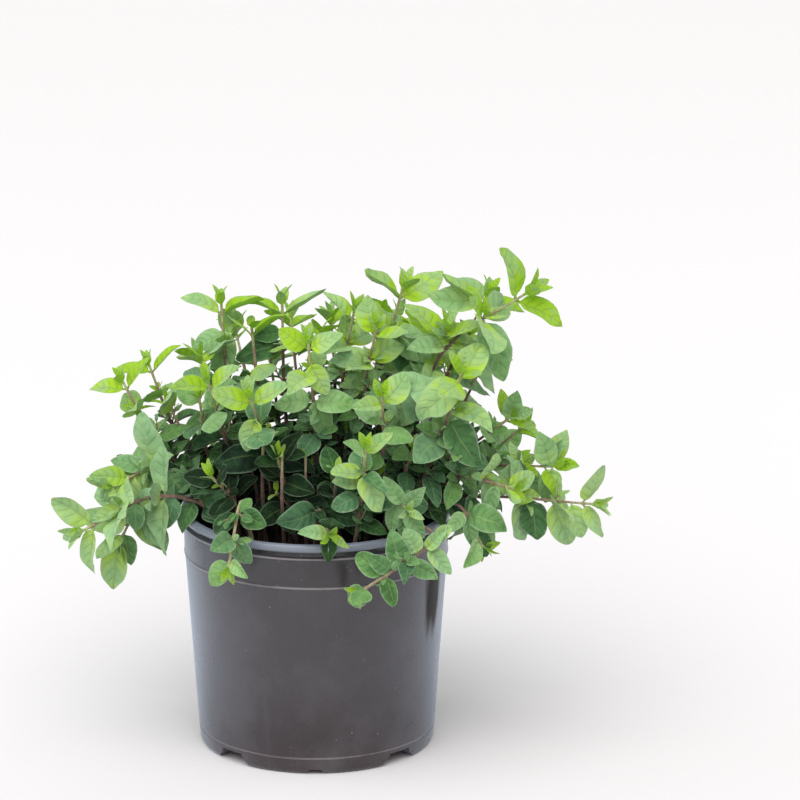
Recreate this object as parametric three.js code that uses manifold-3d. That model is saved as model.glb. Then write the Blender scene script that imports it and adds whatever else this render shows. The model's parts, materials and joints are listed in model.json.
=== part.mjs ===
// An oregano plant in a moulded nursery pot: pot, soil and leafy stems.
// Millimetres, +Z up. The origin is the centre of the flat disc that the pot stands on,
// -Y is the side that faces the viewer.
import * as THREE from 'three';
import { mergeVertices } from 'three/addons/utils/BufferGeometryUtils.js';
import Module from 'manifold-3d';

const wasm = await Module();
wasm.setup();

// ---- driving dimensions ----------------------------------------------------------------

const RIM_RADIUS = 66.8;
const POT_HEIGHT = 120;
const BASE_RADIUS = 58.6;
const WALL = 1.4;
const LIP_HEIGHT = 4;
const UNDERCUT_HEIGHT = 3;
const COLLAR_HEIGHT = 15.4;
const POT_SIDES = 32;

const FLOOR_TOP = 3.8;
const CHANNEL_DEPTH = 2.4;
const CENTRE_DISC_RADIUS = 24;
const FOOT_RING_INNER = 49;
const FOOT_RING_OUTER = 57;
const LARGE_NOTCH = { width: 13, flare: 4.5, height: 6 };
const SMALL_NOTCH = { width: 6, flare: 2, height: 2 };
const BASE_HOLE = { radius: 3.2, circle: 36, count: 4 };

const SOIL_DEPTH_BELOW_RIM = 15;
const SOIL_CROWN = 3;
const GAP = 0.3;

const STEM_SIDE = 1.7;
const STEM_BEND_PER_STEP = 28;
const STEM_FEWEST_STEPS = 2;
const COLLAR_PASS_RADIUS = 56;
const COLLAR_PASS_HEIGHT = POT_HEIGHT + 4;
const ROOT_DEPTH = 16;
const BLADE_THICKNESS = 0.62;
const ROOT_OFFSET = 0.4;
const GUARD_LENGTH = 1.02;
const SEED = 20417;

const Z_AXIS = new THREE.Vector3(0, 0, 1);
const radians = THREE.MathUtils.degToRad;

// ---- solids ----------------------------------------------------------------------------

function toSolid(geometry) {
  const bare = geometry.clone();
  bare.deleteAttribute('normal');
  bare.deleteAttribute('uv');
  const merged = mergeVertices(bare, 1e-4);
  return new wasm.Manifold(new wasm.Mesh({
    numProp: 3,
    vertProperties: new Float32Array(merged.attributes.position.array),
    triVerts: new Uint32Array(merged.index.array),
  }));
}

function toGeometry(solid) {
  const mesh = solid.getMesh();
  const geometry = new THREE.BufferGeometry();
  geometry.setAttribute('position', new THREE.BufferAttribute(new Float32Array(mesh.vertProperties), 3));
  geometry.setIndex(new THREE.BufferAttribute(new Uint32Array(mesh.triVerts), 1));
  return geometry;
}

function sharedVolume(a, b) {
  return a.intersect(b).volume();
}

// ---- pot -------------------------------------------------------------------------------

const LIP_BOTTOM = POT_HEIGHT - LIP_HEIGHT;
const COLLAR_TOP = LIP_BOTTOM - UNDERCUT_HEIGHT;
const BODY_TOP = COLLAR_TOP - COLLAR_HEIGHT;
const INNER_TOP = RIM_RADIUS - 3.8;
const INNER_BOTTOM = BASE_RADIUS - 1.2 - WALL;

// Radius of the tapered outer wall at height z.
function wallRadius(z) {
  return THREE.MathUtils.mapLinear(z, 0, BODY_TOP, BASE_RADIUS - 0.4, RIM_RADIUS - 2);
}

// Radius of the smooth inner wall at height z.
function innerRadius(z) {
  return THREE.MathUtils.mapLinear(z, FLOOR_TOP, POT_HEIGHT, INNER_BOTTOM, INNER_TOP);
}

// A wedge-sided block that cuts one drainage notch out of the foot, pointing along +X.
function notchBlock({ width, flare, height }, from, to) {
  const outline = new THREE.Shape([
    new THREE.Vector2(-width / 2 - flare, -1),
    new THREE.Vector2(width / 2 + flare, -1),
    new THREE.Vector2(width / 2, height),
    new THREE.Vector2(-width / 2, height),
  ]);
  const block = new THREE.ExtrudeGeometry(outline, { depth: to - from, bevelEnabled: false, steps: 1 });
  block.rotateX(Math.PI / 2).rotateZ(Math.PI / 2).translate(from, 0, 0);
  return block;
}

function makePot() {
  const profile = [
    [0, 0],
    [CENTRE_DISC_RADIUS, 0],
    [CENTRE_DISC_RADIUS + 1.5, CHANNEL_DEPTH],
    [FOOT_RING_INNER - 1.5, CHANNEL_DEPTH],
    [FOOT_RING_INNER, 0],
    [FOOT_RING_OUTER, 0],
    [BASE_RADIUS - 0.5, 2.4],
    [wallRadius(8), 8],
    [wallRadius(BODY_TOP), BODY_TOP],
    [RIM_RADIUS - 1.5, BODY_TOP + 0.5],
    [RIM_RADIUS - 1.2, COLLAR_TOP],
    [RIM_RADIUS - 3, COLLAR_TOP + 0.4],
    [RIM_RADIUS - 3, LIP_BOTTOM],
    [RIM_RADIUS - 0.2, LIP_BOTTOM + 0.3],
    [RIM_RADIUS, LIP_BOTTOM + 2],
    [RIM_RADIUS - 0.7, POT_HEIGHT - 0.5],
    [RIM_RADIUS - 1.9, POT_HEIGHT],
    [INNER_TOP, POT_HEIGHT - 0.6],
    [innerRadius(FLOOR_TOP), FLOOR_TOP],
    [0, FLOOR_TOP],
  ];
  const points = profile.map(([r, z]) => new THREE.Vector2(r, z));
  let pot = toSolid(new THREE.LatheGeometry(points, POT_SIDES).rotateX(Math.PI / 2));
  for (let quarter = 0; quarter < 4; quarter += 1) {
    const large = notchBlock(LARGE_NOTCH, FOOT_RING_INNER - 3, BASE_RADIUS + 3);
    large.rotateZ(radians(45 + 90 * quarter));
    const small = notchBlock(SMALL_NOTCH, FOOT_RING_INNER - 3, BASE_RADIUS + 3);
    small.rotateZ(radians(90 * quarter));
    pot = pot.subtract(toSolid(large)).subtract(toSolid(small));
  }
  for (let i = 0; i < BASE_HOLE.count; i += 1) {
    const angle = radians(360 * i / BASE_HOLE.count);
    const hole = new THREE.CylinderGeometry(BASE_HOLE.radius, BASE_HOLE.radius, 3 * FLOOR_TOP, 8);
    hole.rotateX(Math.PI / 2);
    hole.translate(BASE_HOLE.circle * Math.cos(angle), BASE_HOLE.circle * Math.sin(angle), 0);
    pot = pot.subtract(toSolid(hole));
  }
  return pot;
}

// ---- soil ------------------------------------------------------------------------------

const SOIL_EDGE = POT_HEIGHT - SOIL_DEPTH_BELOW_RIM;

function makeSoil() {
  const bottom = FLOOR_TOP + GAP;
  const profile = [
    [0, bottom],
    [innerRadius(bottom) - GAP, bottom],
    [innerRadius(SOIL_EDGE) - GAP, SOIL_EDGE],
    [0, SOIL_EDGE + SOIL_CROWN],
  ];
  const points = profile.map(([r, z]) => new THREE.Vector2(r, z));
  return toSolid(new THREE.LatheGeometry(points, POT_SIDES).rotateX(Math.PI / 2));
}

// ---- leafy stems -----------------------------------------------------------------------

// Each stem leaves the soil at its foot, passes through `via` and ends at its tip. `turn` is the
// angle round the stem, in degrees, of its youngest pair of leaves, `leaf` the length of its
// largest leaves and `pairs` how many pairs it carries, the two small blades of its bud included.
const SPRIGS = [
  // name, foot, via, tip, turn, leaf, pairs
  ['plume', [34, -6], [62, -9, 200], [103, -14, 232], 90, 31, 5],
  ['plume_back', [38, 12], [64, 16, 180], [84, 22, 220], 90, 28, 4],
  ['right_star', [32, -16], [60, -36, 162], [71, -54, 203], 20, 27, 5],
  ['right_inner', [30, -2], [54, -4, 177], [64, -10, 213], 90, 26, 4],
  ['top_right', [20, 16], [30, 22, 178], [43, 26, 224], 90, 27, 5],
  ['top_bend', [16, -4], [24, -6, 180], [30, -12, 214], 80, 22, 4],
  ['top_centre', [8, 6], [13, 6, 180], [19, 2, 219], 90, 22, 4],
  ['centre_front', [2, -14], [0, -20, 168], [-3, -30, 212], 0, 21, 5],
  ['back_centre', [4, 26], [9, 42, 168], [7, 52, 202], 60, 21, 4],
  ['back_left', [-10, 22], [-16, 32, 168], [-17, 40, 212], -21, 25, 5],
  ['left_back', [-24, 16], [-43, 24, 167], [-47, 33, 214], -53, 25, 5],
  ['left_front', [-28, -6], [-44, -12, 158], [-52, -21, 190], 60, 21, 4],
  ['mid_left', [-16, -12], [-25, -27, 160], [-31, -39, 187], 29, 24, 5],
  ['left_high', [-40, 14], [-70, 20, 152], [-83, 28, 184], -72, 20, 4],
  ['left_mid', [-44, 2], [-79, 5, 152], [-95, 8, 181], -84, 21, 4],
  ['left_low', [-44, -12], [-76, -12, 143], [-99, -24, 136], 10, 29, 4],
  ['left_trailing', [-38, -26], [-78, -32, 134], [-113, -40, 119], 90, 28, 4],
  ['left_hang', [-44, -6], [-80, -10, 130], [-97, -16, 105], 45, 24, 4],
  ['left_inner', [-34, 2], [-53, 0, 145], [-57, -2, 176], 40, 18, 4],
  ['droop_left', [-26, -32], [-35, -52, 138], [-41, -74, 111], 20, 18, 4],
  ['inner_left', [-22, -26], [-40, -36, 134], [-50, -44, 148], 30, 19, 3],
  ['inner_centre', [-6, -24], [-14, -34, 138], [-18, -44, 158], 70, 20, 4],
  ['front_centre', [-2, -40], [2, -53, 134], [8, -69, 126], 85, 20, 3],
  ['front_stem', [16, -42], [23, -57, 142], [25, -66, 169], 5, 18, 4],
  ['front_up', [22, -20], [33, -37, 160], [33, -50, 190], 25, 22, 4],
  ['front_right', [28, -38], [39, -52, 140], [45, -68, 138], 75, 19, 3],
  ['trail_right', [42, -32], [58, -66, 124], [22, -84, 102], 50, 18, 4],
  ['inner_right', [28, -16], [42, -24, 138], [48, -36, 160], 10, 19, 3],
  ['right_mid', [40, -8], [61, -22, 138], [68, -34, 164], 60, 19, 3],
  ['right_low', [46, -18], [70, -30, 143], [97, -42, 141], 20, 20, 4],
  ['right_droop', [48, -26], [69, -38, 132], [82, -41, 111], 15, 22, 3],
  ['right_far', [48, -6], [84, -16, 129], [136, -22, 127], 90, 24, 5],
  ['right_up', [46, 6], [80, 2, 138], [117, -8, 142], 60, 22, 4],
  ['right_high', [42, 20], [76, 12, 146], [97, 12, 162], 80, 18, 4],
  ['back_a', [-26, 26], [-46, 48, 152], [-60, 66, 178], 20, 21, 4],
  ['back_b', [-18, 38], [-34, 62, 160], [-42, 82, 188], 65, 23, 4],
  ['back_c', [-4, 44], [-10, 66, 160], [-14, 86, 192], 30, 23, 4],
  ['back_d', [12, 46], [16, 74, 140], [16, 96, 150], 0, 22, 4],
  ['back_e', [22, 38], [34, 62, 162], [40, 80, 194], 50, 24, 4],
  ['back_f', [34, 30], [60, 48, 152], [72, 62, 184], 15, 23, 4],
  ['back_g', [48, 28], [78, 48, 132], [98, 62, 124], 35, 21, 4],
  ['back_h', [34, 42], [50, 74, 134], [58, 96, 118], 60, 20, 4],
  ['back_i', [2, 50], [4, 84, 132], [2, 104, 116], 10, 20, 4],
  ['back_j', [-34, 42], [-50, 72, 134], [-56, 92, 124], 75, 20, 4],
  ['back_k', [-42, 36], [-66, 54, 132], [-84, 64, 114], 40, 20, 4],
  ['back_l', [-46, 22], [-72, 30, 130], [-94, 36, 114], 5, 20, 3],
].map(([name, foot, via, tip, turn, leaf, pairs]) => ({ name, foot, via, tip, turn, leaf, pairs }));

// Pairs are counted from the tip down. Each has a distance from the tip on a stem with leaves of
// the reference length, a share of the leaf length, a lean away from the stem in degrees, and how
// far the weight of the leaf pulls it down.
const REFERENCE_LEAF = 22;
const PAIRS = [
  { along: 1.4, size: 0.5, lean: 34, droop: 0 },
  { along: 4.6, size: 0.86, lean: 56, droop: 0.05 },
  { along: 19, size: 1, lean: 66, droop: 0.15 },
  { along: 35, size: 0.96, lean: 76, droop: 0.25 },
  { along: 53, size: 0.86, lean: 84, droop: 0.32 },
];

// Blade forms: width over length, fold of the two halves, lift at the root, sag to the tip.
const FORMS = [
  { width: 0.64, fold: 14, lift: 0.1, sag: 0.2 },
  { width: 0.58, fold: 22, lift: 0.06, sag: 0.1 },
  { width: 0.68, fold: -10, lift: 0.16, sag: 0.34 },
  { width: 0.62, fold: 8, lift: 0.12, sag: 0.28 },
  { width: 0.56, fold: 30, lift: 0.04, sag: 0.22 },
  { width: 0.7, fold: -14, lift: 0.08, sag: 0.16 },
];
const BUD_FORM = { width: 0.46, fold: 12, lift: 0.02, sag: 0.2 };

// Places along a blade where its outline turns: share of its length and of its full width.
const BLADE_SHOULDER = [0.26, 0.95];
const BLADE_WAIST = [0.62, 0.9];
const SMALL_BLADE_WAIST = [0.44, 1.06];
const SMALL_BLADE = 18;

// A blade that would touch a neighbour takes the first of these that keeps it clear.
const SHIFTS = [
  { lean: 0, turn: 0, size: 1 },
  { lean: 15, turn: 0, size: 1 },
  { lean: -15, turn: 0, size: 1 },
  { lean: 0, turn: 20, size: 1 },
  { lean: 0, turn: -20, size: 1 },
  { lean: 25, turn: 15, size: 0.85 },
  { lean: -25, turn: -15, size: 0.85 },
  { lean: 10, turn: 38, size: 0.75 },
  { lean: 10, turn: -38, size: 0.75 },
  { lean: -35, turn: 0, size: 0.8 },
  { lean: 35, turn: 0, size: 0.8 },
  { lean: 0, turn: 60, size: 0.8 },
  { lean: 0, turn: -60, size: 0.8 },
  { lean: 0, turn: 0, size: 0.6 },
];

// Leaves turn their upper side to the light: above, outward and to the front.
const LIGHT_PULL = 2.6;
const LIGHT_OUTWARD = 0.9;
const LIGHT_FRONT = 0.8;

const TURN_SPREAD = 12;
const LEAN_SPREAD = 8;
const SHORTEST_DRAW = 0.9;
const LONGEST_DRAW = 1.08;

const draws = { state: SEED };

function draw(low, high) {
  draws.state = (Math.imul(draws.state, 1664525) + 1013904223) >>> 0;
  return low + (high - low) * draws.state / 4294967296;
}

// A stem rises inside the rim, clears it, and then leans out to the place of its leaves.
function stemCurve({ foot, via, tip }) {
  const start = new THREE.Vector3(foot[0], foot[1], SOIL_EDGE - ROOT_DEPTH);
  const middle = new THREE.Vector3(...via);
  const collar = start.clone().lerp(middle, (COLLAR_PASS_HEIGHT - start.z) / (middle.z - start.z));
  const inward = Math.min(1, COLLAR_PASS_RADIUS / Math.hypot(collar.x, collar.y));
  collar.set(collar.x * inward, collar.y * inward, COLLAR_PASS_HEIGHT);
  return new THREE.CatmullRomCurve3([start, collar, middle, new THREE.Vector3(...tip)]);
}

// Straight pieces that the stem is made of: more where it bends more.
function stemSteps(curve) {
  const [start, collar, middle, tip] = curve.points;
  const legs = [collar.clone().sub(start), middle.clone().sub(collar), tip.clone().sub(middle)];
  const bend = legs[0].angleTo(legs[1]) + legs[1].angleTo(legs[2]);
  return STEM_FEWEST_STEPS + Math.ceil(THREE.MathUtils.radToDeg(bend) / STEM_BEND_PER_STEP);
}

// Turning frame at a share u of the stem's length: along it, and two directions across it.
function stemFrame(curve, u) {
  const along = curve.getTangentAt(u);
  const plane = Z_AXIS.clone().cross(curve.points[3].clone().sub(curve.points[0])).normalize();
  const across = plane.addScaledVector(along, -plane.dot(along)).normalize();
  return { along, across, out: across.clone().cross(along) };
}

function stemSolid(curve, side) {
  const corners = [[-1, -1], [1, -1], [1, 1], [-1, 1]];
  const square = new THREE.Shape(corners.map(([x, y]) => new THREE.Vector2(x * side / 2, y * side / 2)));
  const options = { extrudePath: curve, steps: stemSteps(curve), bevelEnabled: false };
  return toSolid(new THREE.ExtrudeGeometry(square, options));
}

// The sheet of one blade in its own frame, +Y along the midrib and +Z its upper side, as its
// points, its triangles and its rim. A small blade has one turn on each side, a large one two.
function bladeSheet(form, length, isSmall) {
  const at = ([s, share], side) => {
    const middle = length * (form.lift * s - form.sag * s * s);
    const half = 0.5 * length * form.width * share;
    const fold = radians(form.fold);
    return [side * half * Math.cos(fold), length * s, middle + Math.abs(side) * half * Math.sin(fold)];
  };
  const root = [0, 0, 0];
  const tip = at([1, 0], 0);
  if (isSmall) {
    return {
      points: [root, at(SMALL_BLADE_WAIST, -1), at(SMALL_BLADE_WAIST, 1), tip],
      triangles: [[0, 2, 1], [1, 2, 3]],
      rim: [0, 2, 3, 1],
    };
  }
  const shoulder = [-1, 1].map((side) => at(BLADE_SHOULDER, side));
  const waist = [-1, 0, 1].map((side) => at(BLADE_WAIST, side));
  return {
    points: [root, ...shoulder, ...waist, tip],
    triangles: [[0, 2, 1], [1, 2, 4], [1, 4, 3], [2, 5, 4], [3, 4, 6], [4, 5, 6]],
    rim: [0, 2, 5, 6, 3, 1],
  };
}

function bladeSolid(leaf, length, thickness) {
  const { points, triangles, rim } = bladeSheet(leaf.form, length, leaf.length < SMALL_BLADE);
  const count = points.length;
  const position = [];
  for (const side of [thickness / 2, -thickness / 2]) {
    for (const [x, y, z] of points) position.push(x, y, z + side);
  }
  const index = [];
  for (const [a, b, c] of triangles) index.push(a, b, c, a + count, c + count, b + count);
  rim.forEach((a, i) => {
    const b = rim[(i + 1) % rim.length];
    index.push(a, a + count, b + count, a, b + count, b);
  });
  const geometry = new THREE.BufferGeometry();
  geometry.setAttribute('position', new THREE.Float32BufferAttribute(position, 3));
  geometry.setIndex(index);
  geometry.applyMatrix4(leaf.place);
  return toSolid(geometry);
}

// Where a leaf sits and which way it faces, for one of the shifts.
function leafPlace(leaf, shift) {
  const { frame, base, pair, level } = leaf;
  const turn = radians(leaf.turn + shift.turn);
  const lean = radians(leaf.lean + shift.lean);
  const outward = frame.out.clone().multiplyScalar(Math.cos(turn));
  outward.addScaledVector(frame.across, Math.sin(turn));
  const along = frame.along.clone().multiplyScalar(Math.cos(lean));
  along.addScaledVector(outward, Math.sin(lean)).addScaledVector(Z_AXIS, -pair.droop).normalize();
  const up = frame.along.clone().addScaledVector(along, -frame.along.dot(along)).normalize();
  if (level > 0) {
    const light = new THREE.Vector3(base.x, base.y, 0).normalize().multiplyScalar(LIGHT_OUTWARD);
    light.add(new THREE.Vector3(0, -LIGHT_FRONT, 1));
    light.normalize().addScaledVector(along, -light.dot(along));
    up.addScaledVector(light, LIGHT_PULL).normalize();
  }
  const across = along.clone().cross(up);
  const root = base.clone().addScaledVector(outward, ROOT_OFFSET);
  return new THREE.Matrix4().makeBasis(across, along, up).setPosition(root);
}

// The point on the axis of the stem's straight pieces at a share u of its length.
function axisPoint(curve, u) {
  const steps = stemSteps(curve);
  const piece = Math.min(Math.floor(u * steps), steps - 1);
  return curve.getPointAt(piece / steps).lerp(curve.getPointAt((piece + 1) / steps), u * steps - piece);
}

// All leaves of one stem, from the tip down, each with its drawn differences.
function leavesOf(sprig, curve) {
  const leaves = [];
  const spacing = sprig.leaf / REFERENCE_LEAF;
  for (const [level, pair] of PAIRS.slice(0, sprig.pairs).entries()) {
    const u = Math.max(0, 1 - pair.along * spacing / curve.getLength());
    for (const side of [0, 180]) {
      leaves.push({
        pair,
        level,
        base: axisPoint(curve, u),
        frame: stemFrame(curve, u),
        turn: sprig.turn + side + 90 * level + draw(-TURN_SPREAD, TURN_SPREAD),
        lean: pair.lean + draw(-LEAN_SPREAD, LEAN_SPREAD),
        length: sprig.leaf * pair.size * draw(SHORTEST_DRAW, LONGEST_DRAW),
        form: level > 0 ? FORMS[Math.floor(draw(0, FORMS.length))] : BUD_FORM,
      });
    }
  }
  return leaves;
}

// ---- assembly --------------------------------------------------------------------------

const pot = makePot();
let soil = makeSoil();

const plants = SPRIGS.map((sprig) => {
  const curve = stemCurve(sprig);
  soil = soil.subtract(stemSolid(curve, STEM_SIDE + 2 * GAP));
  return { sprig, stem: stemSolid(curve, STEM_SIDE), leaves: leavesOf(sprig, curve), blades: [] };
});

function boxesMeet(a, b) {
  const [p, q] = [a.boundingBox(), b.boundingBox()];
  return [0, 1, 2].every((k) => p.min[k] < q.max[k] && q.min[k] < p.max[k]);
}

function isClear(guard, owner) {
  const stems = plants.filter((plant) => plant !== owner).map((plant) => plant.stem);
  const blades = plants.flatMap((plant) => plant.blades);
  const solids = [pot, soil, ...stems, ...blades];
  return !solids.some((other) => boxesMeet(guard, other) && sharedVolume(guard, other) > 0);
}

function growLeaf(plant, leaf) {
  for (const shift of SHIFTS) {
    leaf.place = leafPlace(leaf, shift);
    const length = leaf.length * shift.size;
    const guard = bladeSolid(leaf, length * GUARD_LENGTH, BLADE_THICKNESS + 2 * GAP);
    if (isClear(guard, plant)) return bladeSolid(leaf, length, BLADE_THICKNESS);
  }
  return null;
}

for (let level = 0; level < PAIRS.length; level += 1) {
  for (const plant of plants) {
    for (const leaf of plant.leaves.filter((each) => each.level === level)) {
      const blade = growLeaf(plant, leaf);
      if (blade) plant.blades.push(blade);
    }
  }
}

const POT_PLASTIC = new THREE.MeshStandardMaterial({ color: '#3d3434', roughness: 0.42, metalness: 0 });
const POTTING_SOIL = new THREE.MeshStandardMaterial({ color: '#1d1510', roughness: 1, metalness: 0 });
const LEAF_GREEN = new THREE.MeshStandardMaterial({ color: '#5f9a3a', roughness: 0.6, metalness: 0 });

const plantInPot = new THREE.Group();

function addPiece(name, solid, material) {
  const mesh = new THREE.Mesh(toGeometry(solid), material);
  mesh.name = name;
  plantInPot.add(mesh);
}

addPiece('pot', pot, POT_PLASTIC);
addPiece('soil', soil, POTTING_SOIL);
for (const { sprig, stem, blades } of plants) {
  addPiece(`sprig_${sprig.name}`, blades.reduce((whole, blade) => whole.add(blade), stem), LEAF_GREEN);
}

export default plantInPot;
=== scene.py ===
# %% [markdown]
# # An oregano plant in its nursery pot
# A young oregano stands in a dark moulded pot: forty or so square stems, each with opposite
# pairs of small oval leaves, lean out of the soil and over the rim. The solids of the pot, the
# soil and every stem with its main leaves are already there, at their real size and place.
# This lesson gives each of them the surface of the real thing and grows what the solids leave
# out: veins, stalks, buds, small side shoots and the older leaves deep in the plant.

# %% Load the frame
import math

import bmesh
import bpy
import json
import numpy as np
from mathutils import Matrix, Vector
from mathutils.kdtree import KDTree

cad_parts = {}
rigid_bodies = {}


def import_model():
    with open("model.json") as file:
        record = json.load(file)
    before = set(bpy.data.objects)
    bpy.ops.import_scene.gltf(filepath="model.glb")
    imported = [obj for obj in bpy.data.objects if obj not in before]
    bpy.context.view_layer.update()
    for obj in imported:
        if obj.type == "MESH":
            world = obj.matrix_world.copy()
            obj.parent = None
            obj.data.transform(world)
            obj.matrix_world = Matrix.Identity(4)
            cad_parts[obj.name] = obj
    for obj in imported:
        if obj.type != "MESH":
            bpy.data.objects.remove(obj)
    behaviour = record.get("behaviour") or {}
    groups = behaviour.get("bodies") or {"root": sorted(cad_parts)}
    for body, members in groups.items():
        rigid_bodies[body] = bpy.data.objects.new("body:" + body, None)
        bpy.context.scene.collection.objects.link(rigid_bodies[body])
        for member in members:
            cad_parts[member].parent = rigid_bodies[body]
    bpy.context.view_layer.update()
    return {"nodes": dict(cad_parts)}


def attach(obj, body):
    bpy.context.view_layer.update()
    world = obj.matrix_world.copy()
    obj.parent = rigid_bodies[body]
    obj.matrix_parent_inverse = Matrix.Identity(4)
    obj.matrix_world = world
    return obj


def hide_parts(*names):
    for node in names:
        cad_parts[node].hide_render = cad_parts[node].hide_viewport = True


MM = 0.001
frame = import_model()

# %% [markdown]
# ## Camera
# A long lens from far away keeps the sides of the pot nearly parallel. The camera stands
# straight in front and looks down a little, so the rim shows as a flat ellipse. The focal
# length follows from the width that the view has to hold at the plant.

# %% Camera
VIEW_ELEVATION = math.radians(16.3)
CAMERA_DISTANCE = 2.55
VIEW_WIDTH = 0.3922
AIM = Vector((0.0414, 0, 0.1736))


def put_in_scene(name, data):
    """A new object in the scene that shows a mesh, a light or a camera."""
    made = bpy.data.objects.new(name, data)
    bpy.context.scene.collection.objects.link(made)
    return made


def facing(direction):
    """The rotation with which a camera or a light looks along a direction."""
    return direction.to_track_quat("-Z", "Y").to_euler()


camera_data = bpy.data.cameras.new("camera")
camera_data.lens = camera_data.sensor_width * CAMERA_DISTANCE / VIEW_WIDTH
camera = put_in_scene("camera", camera_data)
backwards = Vector((0, -math.cos(VIEW_ELEVATION), math.sin(VIEW_ELEVATION)))
camera.location = AIM + CAMERA_DISTANCE * backwards
camera.rotation_euler = facing(-backwards)
bpy.context.scene.camera = camera
bpy.context.scene.view_settings.view_transform = "Standard"
print("focal length in mm:", round(camera_data.lens))

# %% [markdown]
# ## Floor and light
# The set is a wide pale floor under a bright, even sky. The main light comes from above, the
# front and the left, so that the upper leaves are bright and the inside of the plant falls into
# shade. It could be a softbox, but that leaves a pool of light on the floor. A sun with a very
# wide disc is just as soft and lights the whole floor alike. Two weak softboxes at the sides
# draw long soft highlights down the pot.

# %% A helper for node trees
class Nodes:
    """A node tree that grows by one call for each node."""

    FAMILY = ""

    def add(self, kind, settings=(), **inputs):
        """A new node. An input goes by its name, or by its number as i0, i1 and so on."""
        made = self.tree.nodes.new(self.FAMILY + kind)
        for name, value in dict(settings).items():
            setattr(made, name, value)
        for name, value in inputs.items():
            key = int(name[1:]) if name[0] == "i" and name[1:].isdigit() else name.replace("_", " ")
            self.feed(made.inputs[key], value)
        return made

    def feed(self, socket, value):
        """Links a node or a socket to an input, or sets the input to a plain value."""
        if isinstance(value, bpy.types.Node):
            value = value.outputs[0]
        if isinstance(value, bpy.types.NodeSocket):
            self.tree.links.new(value, socket)
        elif isinstance(value, tuple) and len(value) == 3 and socket.type == "RGBA":
            socket.default_value = (*value, 1)
        else:
            socket.default_value = value


# %% A helper for materials
class Recipe(Nodes):
    """A material whose nodes are added one call at a time."""

    FAMILY = "ShaderNode"

    def __init__(self, name):
        self.material = bpy.data.materials.new(name)
        self.material.use_nodes = True
        self.tree = self.material.node_tree
        self.tree.nodes.clear()
        self.output = self.tree.nodes.new("ShaderNodeOutputMaterial")

    def place(self):
        """Object coordinates, so that a pattern stays where it is on the piece."""
        return self.add("TexCoord").outputs["Object"]

    def noise(self, place, scale, detail=2.0, roughness=0.5):
        return self.add("TexNoise", Vector=place, Scale=scale, Detail=detail,
                        Roughness=roughness).outputs[0]

    def fact(self, name):
        """A number that the mesh carries under a name."""
        return self.add("Attribute", {"attribute_name": name}).outputs["Fac"]

    def vector(self, operation, first, second=(0.0, 0.0, 0.0)):
        return self.add("VectorMath", {"operation": operation}, i0=first, i1=second)

    def maths(self, operation, *values, clamp=False):
        """One operation over its values in turn. Only the last result is clamped."""
        total, *others = values
        for k, value in enumerate(others, start=1):
            settings = {"operation": operation, "use_clamp": clamp and k == len(others)}
            total = self.add("Math", settings, i0=total, i1=value)
        return total

    def plus(self, *values, clamp=False):
        return self.maths("ADD", *values, clamp=clamp)

    def minus(self, first, second):
        return self.maths("SUBTRACT", first, second)

    def times(self, *values):
        return self.maths("MULTIPLY", *values)

    def larger(self, *values, clamp=False):
        return self.maths("MAXIMUM", *values, clamp=clamp)

    def alone(self, operation, value):
        """An operation that takes a single value."""
        return self.add("Math", {"operation": operation}, i0=value)

    def between(self, value, low, high, to_low=0.0, to_high=1.0):
        """Value brought from low..high to to_low..to_high, held at both ends, with soft steps."""
        settings = {"interpolation_type": "SMOOTHSTEP"}
        return self.add("MapRange", settings, Value=value, From_Min=low, From_Max=high,
                        To_Min=to_low, To_Max=to_high).outputs[0]

    def blend(self, share, first, second, mode="MIX"):
        settings = {"data_type": "RGBA", "blend_type": mode}
        return self.add("Mix", settings, i0=share, i6=first, i7=second).outputs[2]

    def ramp(self, value, stops):
        made = self.add("ValToRGB", Fac=value)
        points = made.color_ramp.elements
        while len(points) < len(stops):
            points.new(0.5)
        for point, (place, colour) in zip(points, stops):
            point.position = place
            point.color = (*colour, 1)
        return made.outputs[0]

    def finish(self, shader):
        self.feed(self.output.inputs["Surface"], shader)
        return self.material


# %% Floor
FLOOR_RADIUS = 60.0
FLOOR_SIDES = 96
FLOOR_PALE = (0.730, 0.702, 0.698)
FLOOR_DROP = 0.2 * MM


def mesh_of(shape, name):
    """The mesh of a shape that was built face by face."""
    mesh = bpy.data.meshes.new(name)
    shape.to_mesh(mesh)
    shape.free()
    return mesh


def make_floor():
    shape = bmesh.new()
    bmesh.ops.create_circle(shape, cap_ends=True, radius=FLOOR_RADIUS, segments=FLOOR_SIDES)
    bmesh.ops.translate(shape, verts=shape.verts, vec=(0, 0, -FLOOR_DROP))
    mesh = mesh_of(shape, "floor")
    recipe = Recipe("pale_floor")
    paint = recipe.add("BsdfPrincipled", Base_Color=FLOOR_PALE, Roughness=0.9)
    mesh.materials.append(recipe.finish(paint))
    floor = put_in_scene("floor", mesh)


make_floor()

# %% Sky, sun and softboxes
SKY_WHITE = (0.975, 0.985, 1.0)
SKY_STRENGTH = 0.69
SUN_PLACE = Vector((-0.14, -0.68, 1.0))
SUN_STRENGTH = 2.45
SUN_DISC = math.radians(68)
LIGHT_TARGET = Vector((0, 0, 0.1))
SOFTBOX_HEIGHT = 1.0
# Name, place, width, power and colour.
SOFTBOXES = [
    ("left", (-1.3, 0.1, 0.5), 1.0, 5.0, (0.78, 0.9, 1)),
    ("right", (1.3, 0.5, 0.5), 0.5, 2.6, (0.8, 0.9, 1)),
]


def add_light(name, kind, power, direction):
    light = put_in_scene(name, bpy.data.lights.new(name, kind))
    light.data.energy = power
    light.rotation_euler = facing(direction)
    return light


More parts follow.
